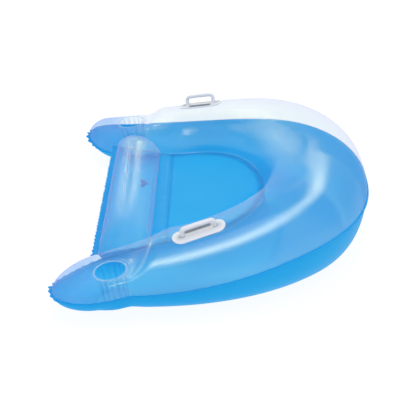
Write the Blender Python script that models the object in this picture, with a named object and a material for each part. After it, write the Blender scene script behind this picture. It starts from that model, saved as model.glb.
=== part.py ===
"""Inflatable pool lounger.

A horseshoe tube made of a clear top sheet and a blue bottom sheet, welded together along an outer and an
inner seam.  A blue floor panel closes the seat well, a small transverse bolster closes the front between
the two arms, a cup holder sits in each arm tip, a moulded grab handle on each arm, and each of the two
air chambers has its own push-in valve with a hinged plug and an inner check flap.

Frame: metres, +Z up, +X towards the closed (back rest) end, +Y towards the sitter's right arm, origin on
the ground under the middle of the outline.
"""
import math

import bmesh
import bpy
from mathutils import Matrix, Vector
from mathutils.bvhtree import BVHTree

# ---------------------------------------------------------------- driving dimensions (metres)
SHEET = 0.0008          # modelled film thickness (the real film is about 0.3 mm)
GAP = 0.0003            # clearance kept between touching solids
SEAM_SPLIT = SHEET + 2 * GAP   # distance between top and bottom film at the seams: the floor panel fits between

# plan of the outer seam: a superellipse round the back, then nearly straight arms
OUT_X, OUT_A, OUT_B, OUT_N = -0.250, 0.734, 0.566, 2.33
# plan of the inner seam (edge of the seat well)
IN_X, IN_A, IN_B, IN_N = -0.0965, 0.2545, 0.294, 2.0
# arm tips
TIP_X, TIP_Y, CAP_LEN = -0.478, 0.510, 0.124
ARM_OUT = (0.576, 0.582, 0.590, 0.606)     # outer seam |y| at 1/4, 1/2, 3/4 and the end of the arm
ARM_IN = (0.310, 0.344, 0.391, 0.436)      # inner seam |y| at the same stations
CAP_START = 0.60                            # share of the arm before the round end starts
STATIONS = (0.0, 0.5, 1.0, 1.25, 1.5, 1.75, 2.0)       # 0 = middle of the back, 1 = arm root, 2 = arm tip
SEAM_OUT_Z = (0.182, 0.178, 0.105, 0.097, 0.092, 0.089, 0.088)   # height of the outer seam over the ground
SEAM_IN_Z = (0.150, 0.147, 0.119, 0.110, 0.099, 0.090, 0.088)    # height of the inner seam
RISE = (0.142, 0.134, 0.105, 0.073, 0.064, 0.064, 0.072)         # crest of the tube over the seams
UNDERSIDE = (-0.012, -0.012, -0.010, 0.004, 0.010, 0.011, 0.011)  # lowest point of the section; pressed flat at z = 0

FLANGE_OUT, FLANGE_TIP, FLANGE_ARM, FLANGE_WELL = 0.006, 0.012, 0.012, 0.018   # weld flange widths

# front bolster
BOL_X, BOL_R, BOL_Z = -0.277, 0.0765, 0.112
BOL_END_GAP = 0.016             # its end seam stays this far inside the arms' inner seam
BOL_END_LEN = 0.075             # length of its rounded ends
BOL_FRONT_FLANGE, BOL_REAR_EDGE = 0.022, -0.1570

# cup holders
CUP_X, CUP_Y, CUP_Z = -0.310, 0.4965, 0.146
CUP_R, CUP_RIM_R, CUP_BASE_R, CUP_DEPTH = 0.0465, 0.0515, 0.0405, 0.095
CUP_TILT_X, CUP_TILT_Y = math.radians(15), math.radians(3)    # the mouth leans to the tip, and slightly outwards
BASE_T = 0.0010
DIMPLE_IN, DIMPLE_OUT = 0.067, 0.104     # the sheet is flat inside the first radius and free outside the second
BASE_DIMPLE_IN, BASE_DIMPLE_OUT = 0.055, 0.100

# grab handles
HAN_X, HAN_Y, HAN_YAW = -0.055, 0.444, math.radians(13)
HAN_LEN, HAN_WID, HAN_PLATE = 0.166, 0.060, 0.0026
HAN_LIFT = 0.0011        # the plate's facets clear the film's facets by this much
HAN_SPAN, HAN_RISE, HAN_BAR_W, HAN_BAR_T, HAN_BEND = 0.106, 0.037, 0.020, 0.0085, 0.013

# valves (all measured from the sheet's outer face, along its outward normal)
VAL_FLANGE_R, VAL_FLANGE_T = 0.0150, 0.0009
VAL_SOCKET_OUT, VAL_SOCKET_IN, VAL_SOCKET_END = 0.0072, 0.0065, -0.0165
VAL_STEM_R, VAL_BORE_R, VAL_STEM_END, VAL_COLLAR_R, VAL_COLLAR = 0.0062, 0.0034, -0.0145, 0.0085, (0.0015, 0.0024)
VAL_CAP_R, VAL_CAP, VAL_HINGE_R, VAL_HINGE_Z, VAL_LUG_W = 0.0080, (0.0028, 0.0046), 0.0105, 0.0037, 0.0050
VAL_STUB = (0.0030, 0.0022, -0.0010)
VAL_FLAP_R, VAL_FLAP = 0.0050, (-0.0154, -0.0148)

ROWS_BACK, ROWS_ARM, COLS = 12, 18, 10


# ---------------------------------------------------------------- curves
def hermite(x, xs, ys, first_slope=None):
    """Smooth curve through design stations, with finite-difference tangents."""
    n = len(xs)
    m = []
    for i in range(n):
        if i == 0:
            m.append((ys[1] - ys[0]) / (xs[1] - xs[0]) if first_slope is None else first_slope)
        elif i == n - 1:
            m.append((ys[-1] - ys[-2]) / (xs[-1] - xs[-2]))
        else:
            h0, h1 = xs[i] - xs[i - 1], xs[i + 1] - xs[i]
            d0, d1 = (ys[i] - ys[i - 1]) / h0, (ys[i + 1] - ys[i]) / h1
            m.append((d0 * h1 + d1 * h0) / (h0 + h1))
    i = 0
    while i < n - 2 and x > xs[i + 1]:
        i += 1
    h = xs[i + 1] - xs[i]
    t = (x - xs[i]) / h
    return ((2 * t ** 3 - 3 * t ** 2 + 1) * ys[i] + (t ** 3 - 2 * t ** 2 + t) * h * m[i]
            + (3 * t ** 2 - 2 * t ** 3) * ys[i + 1] + (t ** 3 - t ** 2) * h * m[i + 1])


def station(u):
    """Outer and inner seam points (x, |y|, z), crest rise and end-cap factor at station u."""
    if u <= 1.0:
        a = u * math.pi / 2
        c, s = max(math.cos(a), 0.0), math.sin(a)
        ox, oy = OUT_X + OUT_A * c ** (2 / OUT_N), OUT_B * s ** (2 / OUT_N)
        ix, iy = IN_X + IN_A * c ** (2 / IN_N), IN_B * s ** (2 / IN_N)
        cap = 1.0
    else:
        v = u - 1.0
        cap_x = TIP_X + CAP_LEN
        if v < CAP_START:
            k = v / CAP_START
            ox, ix, cap = OUT_X + (cap_x - OUT_X) * k, IN_X + (cap_x - IN_X) * k, 1.0
        else:
            ph = (v - CAP_START) / (1 - CAP_START) * math.pi / 2
            ox = ix = cap_x - CAP_LEN * math.sin(ph)
            cap = max(math.cos(ph), 0.0)
        vs = (0.0, 0.25, 0.5, 0.75, 1.0)
        oy = TIP_Y + (hermite(v, vs, (OUT_B,) + ARM_OUT, 0.0) - TIP_Y) * cap
        iy = TIP_Y - (TIP_Y - hermite(v, vs, (IN_B,) + ARM_IN, 0.0)) * cap
    zo, zi = hermite(u, STATIONS, SEAM_OUT_Z, 0.0), hermite(u, STATIONS, SEAM_IN_Z, 0.0)
    return (ox, oy, zo), (ix, iy, zi), hermite(u, STATIONS, RISE, 0.0), cap


def inner_seam_at(x):
    """|y| and z of the inner seam along the arms, by bisection on the station."""
    lo, hi = 1.0, 1.9
    for _ in range(40):
        mid = (lo + hi) / 2
        if station(mid)[1][0] > x:
            lo = mid
        else:
            hi = mid
    p = station(lo)[1]
    return p[1], p[2]


def cup_axis(side):
    n = Vector((-math.sin(CUP_TILT_X), side * math.sin(CUP_TILT_Y), 0.0))
    n.z = math.sqrt(1 - n.x ** 2 - n.y ** 2)
    return n


def smooth(t):
    t = min(max(t, 0.0), 1.0)
    return t * t * (3 - 2 * t)


def dimple(p, s):
    """Pull the top sheet into the plane of the cup mouth near each cup; the seams stay put."""
    for side in (-1, 1):
        c, n = Vector((CUP_X, side * CUP_Y, CUP_Z)), cup_axis(side)
        r = math.hypot(p.x - c.x, p.y - c.y)
        w = smooth((DIMPLE_OUT - r) / (DIMPLE_OUT - DIMPLE_IN)) * smooth(s / 0.42)
        if r < DIMPLE_IN:
            w = 1.0 if s > 0.30 else w
        z = c.z - (n.x * (p.x - c.x) + n.y * (p.y - c.y)) / n.z
        p.z += (z - p.z) * w
    return p


def base_dimple(p, s):
    """Draw the bottom film up to the cup base: the cup wall ties the two films together."""
    for side in (-1, 1):
        n = cup_axis(side)
        c = Vector((CUP_X, side * CUP_Y, CUP_Z)) - n * (CUP_DEPTH + BASE_T + 2 * GAP + SHEET)
        r = math.hypot(p.x - c.x, p.y - c.y)
        z = c.z - (n.x * (p.x - c.x) + n.y * (p.y - c.y)) / n.z
        w = smooth((BASE_DIMPLE_OUT - r) / (BASE_DIMPLE_OUT - BASE_DIMPLE_IN)) * smooth(s / 0.35)
        if r < BASE_DIMPLE_IN:
            w = 1.0
        p.z += (z - p.z) * w
    return p


def ring_sheet(top):
    """The top or bottom film of the horseshoe tube, as one open surface with its weld flange."""
    us = [1 - i / ROWS_BACK for i in range(ROWS_BACK)]                      # 1 ... just after 0
    arm = [1 + i / ROWS_ARM for i in range(1, ROWS_ARM + 1)]
    us = list(reversed(arm)) + us + [0.0] + list(reversed(us)) + arm
    half = len(us) // 2
    lift = SEAM_SPLIT / 2 + SHEET
    bm = bmesh.new()
    rows = []
    for k, u in enumerate(us):
        side = -1 if k <= half else 1
        o, i, rise, cap = station(u)
        if u >= 2.0:
            v = bm.verts.new((o[0], side * o[1], o[2] + (lift if top else -lift)))
            rows.append([v])
            continue
        row = []
        for j in range(COLS + 1):
            f = math.pi * j / COLS
            c, s = math.cos(f), math.sin(f)
            x = (o[0] + i[0]) / 2 + (o[0] - i[0]) / 2 * c
            y = (o[1] + i[1]) / 2 + (o[1] - i[1]) / 2 * c
            zl = o[2] * (1 + c) / 2 + i[2] * (1 - c) / 2
            if top:
                p = dimple(Vector((x, side * y, zl + lift + rise * cap * s)), s)
            else:
                drop = zl - lift - hermite(u, STATIONS, UNDERSIDE, 0.0)
                p = base_dimple(Vector((x, side * y, max(zl - lift - drop * cap * s, 0.0))), s)
            row.append(bm.verts.new(p))
        rows.append(row)
    for a, b in zip(rows, rows[1:]):
        if len(a) == 1 or len(b) == 1:
            one, many = (a[0], b) if len(a) == 1 else (b[0], a)
            for j in range(COLS):
                bm.faces.new((one, many[j], many[j + 1]))
        else:
            for j in range(COLS):
                bm.faces.new((a[j], a[j + 1], b[j + 1], b[j]))
    # weld flange: a band round the whole edge, offset in plan from the seam loop
    loop = [r[0] for r in rows] + [r[-1] for r in reversed(rows[1:-1])]
    kinds = [("out", u) for u in us] + [("in", u) for u in reversed(us[1:-1])]
    n = len(loop)
    edge = []
    for k in range(n):
        a, b = loop[k - 1].co, loop[(k + 1) % n].co
        t = Vector((b.x - a.x, b.y - a.y, 0.0)).normalized()
        out = Vector((t.y, -t.x, 0.0))
        kind, u = kinds[k]
        tip = smooth((u - 1.55) / 0.3)
        if kind == "out":
            w = FLANGE_OUT + (FLANGE_TIP - FLANGE_OUT) * tip
        else:
            w = FLANGE_WELL + (FLANGE_ARM - FLANGE_WELL) * smooth((u - 0.8) / 0.3)
        edge.append(bm.verts.new(loop[k].co + out * w))
    for k in range(n):
        j = (k + 1) % n
        bm.faces.new((loop[k], loop[j], edge[j], edge[k]))
    bmesh.ops.recalc_face_normals(bm, faces=bm.faces)
    crest = max(bm.faces, key=lambda f: f.calc_center_median().z) if top else \
        min(bm.faces, key=lambda f: f.calc_center_median().z)
    if (crest.normal.z > 0) != top:
        bmesh.ops.reverse_faces(bm, faces=bm.faces)
    return bm


# ---------------------------------------------------------------- scene helpers
def material(name, color, rough, alpha=1.0, metallic=0.0, transmission=0.0):
    m = bpy.data.materials.get(name) or bpy.data.materials.new(name)
    m.use_nodes = True
    b = m.node_tree.nodes["Principled BSDF"]
    b.inputs["Base Color"].default_value = (*color, 1.0)
    b.inputs["Roughness"].default_value = rough
    b.inputs["Metallic"].default_value = metallic
    b.inputs["Alpha"].default_value = alpha
    b.inputs["Transmission Weight"].default_value = transmission
    m.diffuse_color = (*color, alpha)
    return m


def make_object(name, bm, mat, matrix=None, parent=None, auto=35):
    me = bpy.data.meshes.new(name)
    bm.to_mesh(me)
    bm.free()
    me.shade_smooth()
    me.set_sharp_from_angle(angle=math.radians(auto))
    ob = bpy.data.objects.new(name, me)
    bpy.context.scene.collection.objects.link(ob)
    me.materials.append(mat)
    if parent is not None:
        ob.parent = parent
    if matrix is not None:
        ob.matrix_world = matrix
    return ob


def thicken(ob, thickness=SHEET):
    s = ob.modifiers.new("film", "SOLIDIFY")
    s.thickness = thickness
    s.offset = -1.0
    s.use_even_offset = True
    s.use_quality_normals = True
    s.thickness_clamp = 0.0
    return s


def cut(ob, cutter):
    b = ob.modifiers.new("cut", "BOOLEAN")
    b.operation = "DIFFERENCE"
    b.solver = "EXACT"
    b.object = cutter
    cutter.hide_render = True
    cutter.display_type = "WIRE"


def revolve(profile, steps):
    """Closed profile of (r, z) points turned round Z; points with r = 0 become single vertices."""
    bm = bmesh.new()
    rings = []
    for r, z in profile:
        if r < 1e-9:
            rings.append([bm.verts.new((0, 0, z))])
        else:
            rings.append([bm.verts.new((r * math.cos(2 * math.pi * k / steps), r * math.sin(2 * math.pi * k / steps), z))
                          for k in range(steps)])
    pairs = list(zip(rings, rings[1:] + rings[:1]))
    for a, b in pairs:
        if len(a) == 1 and len(b) == 1:
            continue
        for k in range(steps):
            j = (k + 1) % steps
            if len(a) == 1:
                bm.faces.new((a[0], b[j], b[k]))
            elif len(b) == 1:
                bm.faces.new((a[k], a[j], b[0]))
            else:
                bm.faces.new((a[k], a[j], b[j], b[k]))
    bmesh.ops.recalc_face_normals(bm, faces=bm.faces)
    if bm.calc_volume(signed=True) < 0:
        bmesh.ops.reverse_faces(bm, faces=bm.faces)
    return bm


def cylinder_cutter(name, radius, z0, z1, matrix, steps=32):
    bm = revolve([(0, z0), (radius, z0), (radius, z1), (0, z1)], steps)
    ob = make_object(name, bm, material("cutter", (0.5, 0.5, 0.5), 0.5), matrix)
    ob.hide_render = True
    ob.display_type = "WIRE"
    return ob


def frame_matrix(origin, normal, along):
    z = normal.normalized()
    x = (along - z * along.dot(z)).normalized()
    y = z.cross(x)
    m = Matrix((x, y, z)).transposed().to_4x4()
    m.translation = origin
    return m


# ---------------------------------------------------------------- build
for ob in list(bpy.data.objects):
    bpy.data.objects.remove(ob, do_unlink=True)

CLEAR = material("clear_film", (0.86, 0.90, 0.97), 0.12, alpha=0.35)
BLUE = material("blue_film", (0.03, 0.36, 0.80), 0.22)
FLOOR = material("floor_film", (0.05, 0.42, 0.85), 0.28)
WHITE = material("handle_plastic", (0.80, 0.81, 0.85), 0.38)
VALVE = material("valve_plastic", (0.62, 0.68, 0.86), 0.35, alpha=0.8)

root = bpy.data.objects.new("lounger", None)
bpy.context.scene.collection.objects.link(root)

# main chamber
top_bm, bottom_bm = ring_sheet(True), ring_sheet(False)
top_tree, bottom_tree = BVHTree.FromBMesh(top_bm), BVHTree.FromBMesh(bottom_bm)
ring_top = make_object("ring_top_sheet", top_bm, CLEAR, parent=root)
ring_bottom = make_object("ring_bottom_sheet", bottom_bm, BLUE, parent=root)
thicken(ring_top)
thicken(ring_bottom)


# seat floor: sandwiched between the two films' inner flanges, open edge against the bolster's rear flange
def floor_panel():
    front = BOL_REAR_EDGE + 0.0006
    y_f, z_f = inner_seam_at(front)
    us = [1 - i / ROWS_BACK for i in range(ROWS_BACK)] + [0.0]
    # outline stations from the front edge of the near side round the back to the far side
    n_front = 3
    pts = []
    for side in (-1, 1):
        line = []
        for k in range(n_front):                                  # along the arm, between the bolster and the root
            x = front + (IN_X - front) * k / n_front
            y, z = inner_seam_at(x)
            line.append(Vector((x, side * y, z)))
        line += [Vector((station(u)[1][0], side * station(u)[1][1], station(u)[1][2])) for u in us]
        pts.append(line)
    near, far = pts
    loop = near + list(reversed(far))[1:]
    n = len(loop)
    bm = bmesh.new()
    inset = []
    for k in range(n):
        if k == 0 or k == n - 1:
            nrm = Vector((0, 1 if k == 0 else -1, 0))
        else:
            t = loop[k + 1] - loop[k - 1]
            nrm = Vector((-t.y, t.x, 0)).normalized()
        inset.append(nrm)
    rings = []
    for d in (0.0016, FLANGE_WELL + 0.003):
        rings.append([bm.verts.new((p.x + q.x * d, p.y + q.y * d, p.z + SHEET / 2)) for p, q in zip(loop, inset)])
    # across the well: straight rungs between facing points of the inner ring, so the panel is a ruled sheet
    inner = rings[-1]
    h = n // 2
    cols = 6
    rungs = []
    for k in range(h):
        a, b = inner[k], inner[n - 1 - k]
        rung = [a] + [bm.verts.new(a.co.lerp(b.co, j / cols)) for j in range(1, cols)] + [b]
        rungs.append(rung)
    for a, b in zip(rungs, rungs[1:]):
        for j in range(cols):
            bm.faces.new((a[j], a[j + 1], b[j + 1], b[j]))
    last = rungs[-1]
    for j in range(cols):
        bm.faces.new((last[j], last[j + 1], inner[h]))
    for k in range(n - 1):
        bm.faces.new((rings[0][k], rings[0][k + 1], rings[1][k + 1], rings[1][k]))
    bmesh.ops.recalc_face_normals(bm, faces=bm.faces)
    if sum(f.normal.z * f.calc_area() for f in bm.faces) < 0:
        bmesh.ops.reverse_faces(bm, faces=bm.faces)
    return bm


seat_floor = make_object("seat_floor_sheet", floor_panel(), FLOOR, parent=root)
thicken(seat_floor)


# bolster
def bolster_sheet(top, rows=10, ends=5, mids=4):
    lift = GAP / 2 + SHEET
    ss = [math.sin(math.pi / 2 * k / ends) for k in range(ends + 1)]        # 0 ... 1 across a rounded end
    bm = bmesh.new()
    grid = []
    for j in range(rows + 1):
        f = math.pi * j / rows
        x = BOL_X - BOL_R * math.cos(f)
        y_end = inner_seam_at(min(x, BOL_REAR_EDGE))[0] - BOL_END_GAP
        line = []
        ys = [-(y_end - BOL_END_LEN) - BOL_END_LEN * s for s in reversed(ss)]
        caps = [math.sqrt(max(1 - s * s, 0.0)) for s in reversed(ss)]
        mid = y_end - BOL_END_LEN
        ys += [-mid + 2 * mid * k / mids for k in range(1, mids)]
        caps += [1.0] * (mids - 1)
        ys += [mid + BOL_END_LEN * s for s in ss]
        caps += [math.sqrt(max(1 - s * s, 0.0)) for s in ss]
        for y, cap in zip(ys, caps):
            z = BOL_R * math.sin(f) * cap
            line.append(bm.verts.new((x, y, BOL_Z + lift + z if top else BOL_Z - lift - z)))
        grid.append(line)
    for a, b in zip(grid, grid[1:]):
        for k in range(len(a) - 1):
            bm.faces.new((a[k], a[k + 1], b[k + 1], b[k]))
    m = len(grid[0])
    # flanges: front, rear and both ends
    front = [bm.verts.new((v.co.x - BOL_FRONT_FLANGE, v.co.y, v.co.z)) for v in grid[0]]
    shrink = (inner_seam_at(BOL_REAR_EDGE)[0] - BOL_END_GAP) / grid[-1][-1].co.y
    rear = [bm.verts.new((BOL_REAR_EDGE, v.co.y * shrink, v.co.z)) for v in grid[-1]]
    for k in range(m - 1):
        bm.faces.new((front[k], front[k + 1], grid[0][k + 1], grid[0][k]))
        bm.faces.new((grid[-1][k], grid[-1][k + 1], rear[k + 1], rear[k]))
    bmesh.ops.recalc_face_normals(bm, faces=bm.faces)
    up = sum(f.normal.z * f.calc_area() for f in bm.faces)
    if (up > 0) != top:
        bmesh.ops.reverse_faces(bm, faces=bm.faces)
    return bm


bol_top_bm = bolster_sheet(True)
bol_tree = BVHTree.FromBMesh(bol_top_bm)
bolster_top = make_object("bolster_top_sheet", bol_top_bm, CLEAR, parent=root)
bolster_bottom = make_object("bolster_bottom_sheet", bolster_sheet(False), BLUE, parent=root)
thicken(bolster_top)
thicken(bolster_bottom)

# cup holders
SIDES = (("left", -1), ("right", 1))
for label, side in SIDES:
    m = frame_matrix(Vector((CUP_X, side * CUP_Y, CUP_Z)), cup_axis(side), Vector((1, 0, 0)))
    cutter = cylinder_cutter(label + "_cup_cutter", CUP_R + 0.0008, -0.02, 0.03, m, 36)
    cut(ring_top, cutter)
    t = SHEET
    wall = revolve([(CUP_R, 0.0009), (CUP_BASE_R + 0.0006, -CUP_DEPTH), (CUP_BASE_R + 0.0006 - t, -CUP_DEPTH),
                    (CUP_R - t, 0.0009)], 28)
    make_object(label + "_cup_wall", wall, CLEAR, m, root)
    base = revolve([(0, -CUP_DEPTH - GAP - BASE_T), (CUP_BASE_R, -CUP_DEPTH - GAP - BASE_T),
                    (CUP_BASE_R, -CUP_DEPTH - GAP), (0, -CUP_DEPTH - GAP)], 28)
    make_object(label + "_cup_base", base, BLUE, m, root)
    r0, r1 = CUP_R - 0.0022, CUP_RIM_R
    rim = revolve([(r0, 0.0015), (r0 + 0.0008, 0.0036), (r0 + 0.0024, 0.0046), (r0 + 0.0042, 0.0036),
                   (r1 - 0.0006, 0.0021), (r1 - 0.0004, 0.0012)], 28)
    make_object(label + "_cup_rim", rim, CLEAR, m, root)


# grab handles
def drape(tree, x, y):
    hit = tree.ray_cast(Vector((x, y, 1.0)), Vector((0, 0, -1)))
    return hit[0], hit[1]


def handle_plate(m, tree, along=8, across=6):
    """Stadium plate that follows the sheet: a grid of rows across the stadium, draped and thickened."""
    inv = m.inverted()
    r = HAN_WID / 2
    straight = HAN_LEN / 2 - r
    a_list = [-(straight + r * math.cos(math.pi / 2 * k / 4)) for k in range(0, 4)]
    a_list += [-straight + 2 * straight * k / along for k in range(along + 1)]
    a_list += [straight + r * math.cos(math.pi / 2 * k / 4) for k in range(3, -1, -1)]
    bm = bmesh.new()
    layers = []
    for h in (HAN_LIFT, HAN_LIFT + HAN_PLATE):
        grid = []
        for a in a_list:
            e = max(abs(a) - straight, 0.0)
            w = math.sqrt(max(r * r - e * e, 0.0))
            w = max(w, 0.006)
            line = []
            for j in range(across + 1):
                b = w * (2 * j / across - 1)
                p = m @ Vector((a, b, 0))
                hit, _ = drape(tree, p.x, p.y)
                q = inv @ hit
                line.append(bm.verts.new(Vector((a, b, q.z + h))))
            grid.append(line)
        layers.append(grid)
    low, high = layers
    rows, cols = len(low), across + 1
    for i in range(rows - 1):
        for j in range(cols - 1):
            bm.faces.new((low[i][j], low[i][j + 1], low[i + 1][j + 1], low[i + 1][j]))
            bm.faces.new((high[i][j], high[i + 1][j], high[i + 1][j + 1], high[i][j + 1]))
    for i in range(rows - 1):
        for j in (0, cols - 1):
            bm.faces.new((low[i][j], low[i + 1][j], high[i + 1][j], high[i][j]))
    for j in range(cols - 1):
        for i in (0, rows - 1):
            bm.faces.new((low[i][j], low[i][j + 1], high[i][j + 1], high[i][j]))
    bmesh.ops.recalc_face_normals(bm, faces=bm.faces)
    if bm.calc_volume(signed=True) < 0:
        bmesh.ops.reverse_faces(bm, faces=bm.faces)
    return bm


def handle_grip(m, tree):
    """Arched strap: a rounded bar section swept along a path that rises, turns and runs across."""
    inv = m.inverted()
    half, top, bend = HAN_SPAN / 2, HAN_RISE - HAN_BAR_T / 2, HAN_BEND

    def foot(sign):
        p = m @ Vector((sign * (half + 0.002), 0, 0))
        hit, _ = drape(tree, p.x, p.y)
        return (inv @ hit).z + HAN_LIFT + HAN_PLATE * 0.45

    path = [(-half - 0.002, foot(-1), -1.45), (-half, 0.012, 0.0)]
    for k in range(1, 6):
        f = math.pi / 2 * k / 5
        path.append((-half + bend * (1 - math.cos(f)), top - bend + bend * math.sin(f), f))
    mirror = [(-a, z, None) for a, z, _ in reversed(path)]
    mirror[-1] = (half + 0.002, foot(1), None)
    pts = [(a, z) for a, z, _ in path] + [(0.0, top + 0.0006)] + [(a, z) for a, z, _ in mirror]
    section = []
    for k in range(10):
        f = 2 * math.pi * (k + 0.5) / 10
        c, s = math.cos(f), math.sin(f)
        section.append((HAN_BAR_W / 2 * math.copysign(abs(c) ** 0.6, c), HAN_BAR_T / 2 * math.copysign(abs(s) ** 0.7, s)))
    bm = bmesh.new()
    rings = []
    for i, (a, z) in enumerate(pts):
        a0, z0 = pts[max(i - 1, 0)]
        a1, z1 = pts[min(i + 1, len(pts) - 1)]
        t = Vector((a1 - a0, 0, z1 - z0)).normalized()
        if i in (0, len(pts) - 1):
            t = Vector((0, 0, 1 if i == 0 else -1))
        n = Vector((-t.z, 0, t.x))
        flare = 1.18 if i in (0, len(pts) - 1) else 1.0
        rings.append([bm.verts.new(Vector((a, 0, z)) + Vector((0, b * flare, 0)) + n * q * flare) for b, q in section])
    for a, b in zip(rings, rings[1:]):
        for k in range(10):
            j = (k + 1) % 10
            bm.faces.new((a[k], a[j], b[j], b[k]))
    bm.faces.new(rings[0])
    bm.faces.new(rings[-1])
    bmesh.ops.recalc_face_normals(bm, faces=bm.faces)
    if bm.calc_volume(signed=True) < 0:
        bmesh.ops.reverse_faces(bm, faces=bm.faces)
    return bm


for label, side in SIDES:
    hit, _ = drape(top_tree, HAN_X, side * HAN_Y)
    along = Vector((math.cos(HAN_YAW), -side * math.sin(HAN_YAW), 0))
    ahead, _ = drape(top_tree, HAN_X + along.x * 0.06, side * HAN_Y + along.y * 0.06)
    behind, _ = drape(top_tree, HAN_X - along.x * 0.06, side * HAN_Y - along.y * 0.06)
    tangent = (ahead - behind).normalized()
    across = Vector((0, 0, 1)).cross(tangent)
    m = frame_matrix(hit, tangent.cross(Vector((0, 1, 0))) * (1 if tangent.cross(Vector((0, 1, 0))).z > 0 else -1), tangent)
    grip = make_object(label + "_handle_grip", handle_grip(m, top_tree), WHITE, m, root)
    grip.hide_render = True
    grip.display_type = "WIRE"
    plate = make_object(label + "_handle", handle_plate(m, top_tree), WHITE, m, root)
    join = plate.modifiers.new("join", "BOOLEAN")
    join.operation = "UNION"
    join.solver = "EXACT"
    join.object = grip


# valves
def valve_stem():
    """Turned stem with a collar, a lug for the plug's hinge on its -X side."""
    bm = revolve([(VAL_BORE_R, VAL_STEM_END), (VAL_STEM_R, VAL_STEM_END), (VAL_STEM_R, VAL_COLLAR[0]),
                  (VAL_COLLAR_R, VAL_COLLAR[0]), (VAL_COLLAR_R, VAL_COLLAR[1]), (VAL_BORE_R, VAL_COLLAR[1])], 18)
    return bm


def box_bm(x0, x1, y0, y1, z0, z1):
    bm = bmesh.new()
    bmesh.ops.create_cube(bm, size=1.0)
    for v in bm.verts:
        v.co = Vector((x0 + (v.co.x + 0.5) * (x1 - x0), y0 + (v.co.y + 0.5) * (y1 - y0), z0 + (v.co.z + 0.5) * (z1 - z0)))
    return bm


def valve_plug():
    """Cap disc with a tapered stub, one closed turned body; its hinge strap is joined to it."""
    r_top, r_low, z_low = VAL_STUB
    return revolve([(0, z_low), (r_low, z_low), (r_top, VAL_CAP[0]), (VAL_CAP_R, VAL_CAP[0]),
                    (VAL_CAP_R, VAL_CAP[1] - 0.0006), (VAL_CAP_R - 0.0007, VAL_CAP[1]), (0, VAL_CAP[1])], 18)


def hinge_strap():
    """Strap from the cap to the hinge axis, ending in a round barrel about the axis."""
    bm = bmesh.new()
    r = (VAL_CAP[1] - VAL_CAP[0]) / 2 - 0.0001
    prof = [(-VAL_CAP_R + 0.0015, VAL_HINGE_Z - r), (-VAL_CAP_R + 0.0015, VAL_HINGE_Z + r)]
    for k in range(7):
        f = math.pi / 2 + math.pi * k / 6
        prof.append((-VAL_HINGE_R + r * math.cos(f), VAL_HINGE_Z + r * math.sin(f)))
    a = [bm.verts.new((x, -VAL_LUG_W / 2, z)) for x, z in prof]
    b = [bm.verts.new((x, VAL_LUG_W / 2, z)) for x, z in prof]
    n = len(prof)
    bm.faces.new(a)
    bm.faces.new(b)
    for k in range(n):
        j = (k + 1) % n
        bm.faces.new((a[k], a[j], b[j], b[k]))
    bmesh.ops.recalc_face_normals(bm, faces=bm.faces)
    if bm.calc_volume(signed=True) < 0:
        bmesh.ops.reverse_faces(bm, faces=bm.faces)
    return bm


def unite(ob, other):
    other.hide_render = True
    other.display_type = "WIRE"
    b = ob.modifiers.new("join", "BOOLEAN")
    b.operation = "UNION"
    b.solver = "EXACT"
    b.object = other


def move_origin(ob, local_point):
    """Put the object's origin on its joint axis without moving the mesh."""
    ob.data.transform(Matrix.Translation(-local_point))
    ob.matrix_world = ob.matrix_world @ Matrix.Translation(local_point)


VALVES = {}
for label, tree, sheet, start, direction, hinge_side in (
        ("bolster_valve", bol_tree, bolster_top, Vector((-0.235, -0.025, 1.0)), Vector((0, 0, -1)), Vector((-1, 0, 0))),
        ("ring_valve", bottom_tree, ring_bottom, Vector((-0.013, 0.1, 0.064)), Vector((0, 1, 0)), Vector((0, 0, 1)))):
    hit, normal, _, _ = tree.ray_cast(start, direction)
    if normal.dot(direction) > 0:
        normal = -normal
    m = frame_matrix(hit, normal, -hinge_side)
    VALVES[label] = m
    cutter = cylinder_cutter(label + "_cutter", VAL_SOCKET_OUT + 0.0006, -0.012, 0.012, m, 20)
    cut(sheet, cutter)
    flange = revolve([(VAL_SOCKET_IN, VAL_FLANGE_T + GAP), (VAL_FLANGE_R - 0.0004, VAL_FLANGE_T + GAP),
                      (VAL_FLANGE_R, GAP + 0.0004), (VAL_FLANGE_R - 0.0003, GAP), (VAL_SOCKET_OUT, GAP),
                      (VAL_SOCKET_OUT, VAL_SOCKET_END), (VAL_SOCKET_IN, VAL_SOCKET_END)], 18)
    make_object(label + "_flange", flange, VALVE, m, root)
    stem = make_object(label + "_stem", valve_stem(), VALVE, m, root)
    lug = make_object(label + "_lug_body", box_bm(-VAL_HINGE_R - 0.0016, -VAL_COLLAR_R + 0.0012, -VAL_LUG_W / 2, VAL_LUG_W / 2,
                                                  *VAL_COLLAR), VALVE, m, root)
    unite(stem, lug)
    plug = make_object(label + "_plug", valve_plug(), VALVE, m, stem)
    strap = make_object(label + "_strap_body", hinge_strap(), VALVE, m, stem)
    unite(plug, strap)
    move_origin(plug, Vector((-VAL_HINGE_R, 0, VAL_HINGE_Z)))
    flap = make_object(label + "_flap", revolve([(0, VAL_FLAP[0]), (VAL_FLAP_R, VAL_FLAP[0]), (VAL_FLAP_R, VAL_FLAP[1]),
                                                 (0, VAL_FLAP[1])], 20), VALVE, m, stem)
    move_origin(flap, Vector((-VAL_FLAP_R - 0.0003, 0, (VAL_FLAP[0] + VAL_FLAP[1]) / 2)))

bpy.context.view_layer.update()
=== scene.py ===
"""Looks for the inflatable pool lounger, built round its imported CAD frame.

Every film is modelled as one skin of PVC: the clear top, the blue underside, the seat floor and the front
bolster, with their weld flanges, puckers and creases.  Cup wells, handles and valves are detailed pieces.
"""
import math

import bmesh
import bpy
from mathutils import Matrix, Vector, noise
from mathutils.bvhtree import BVHTree


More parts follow.
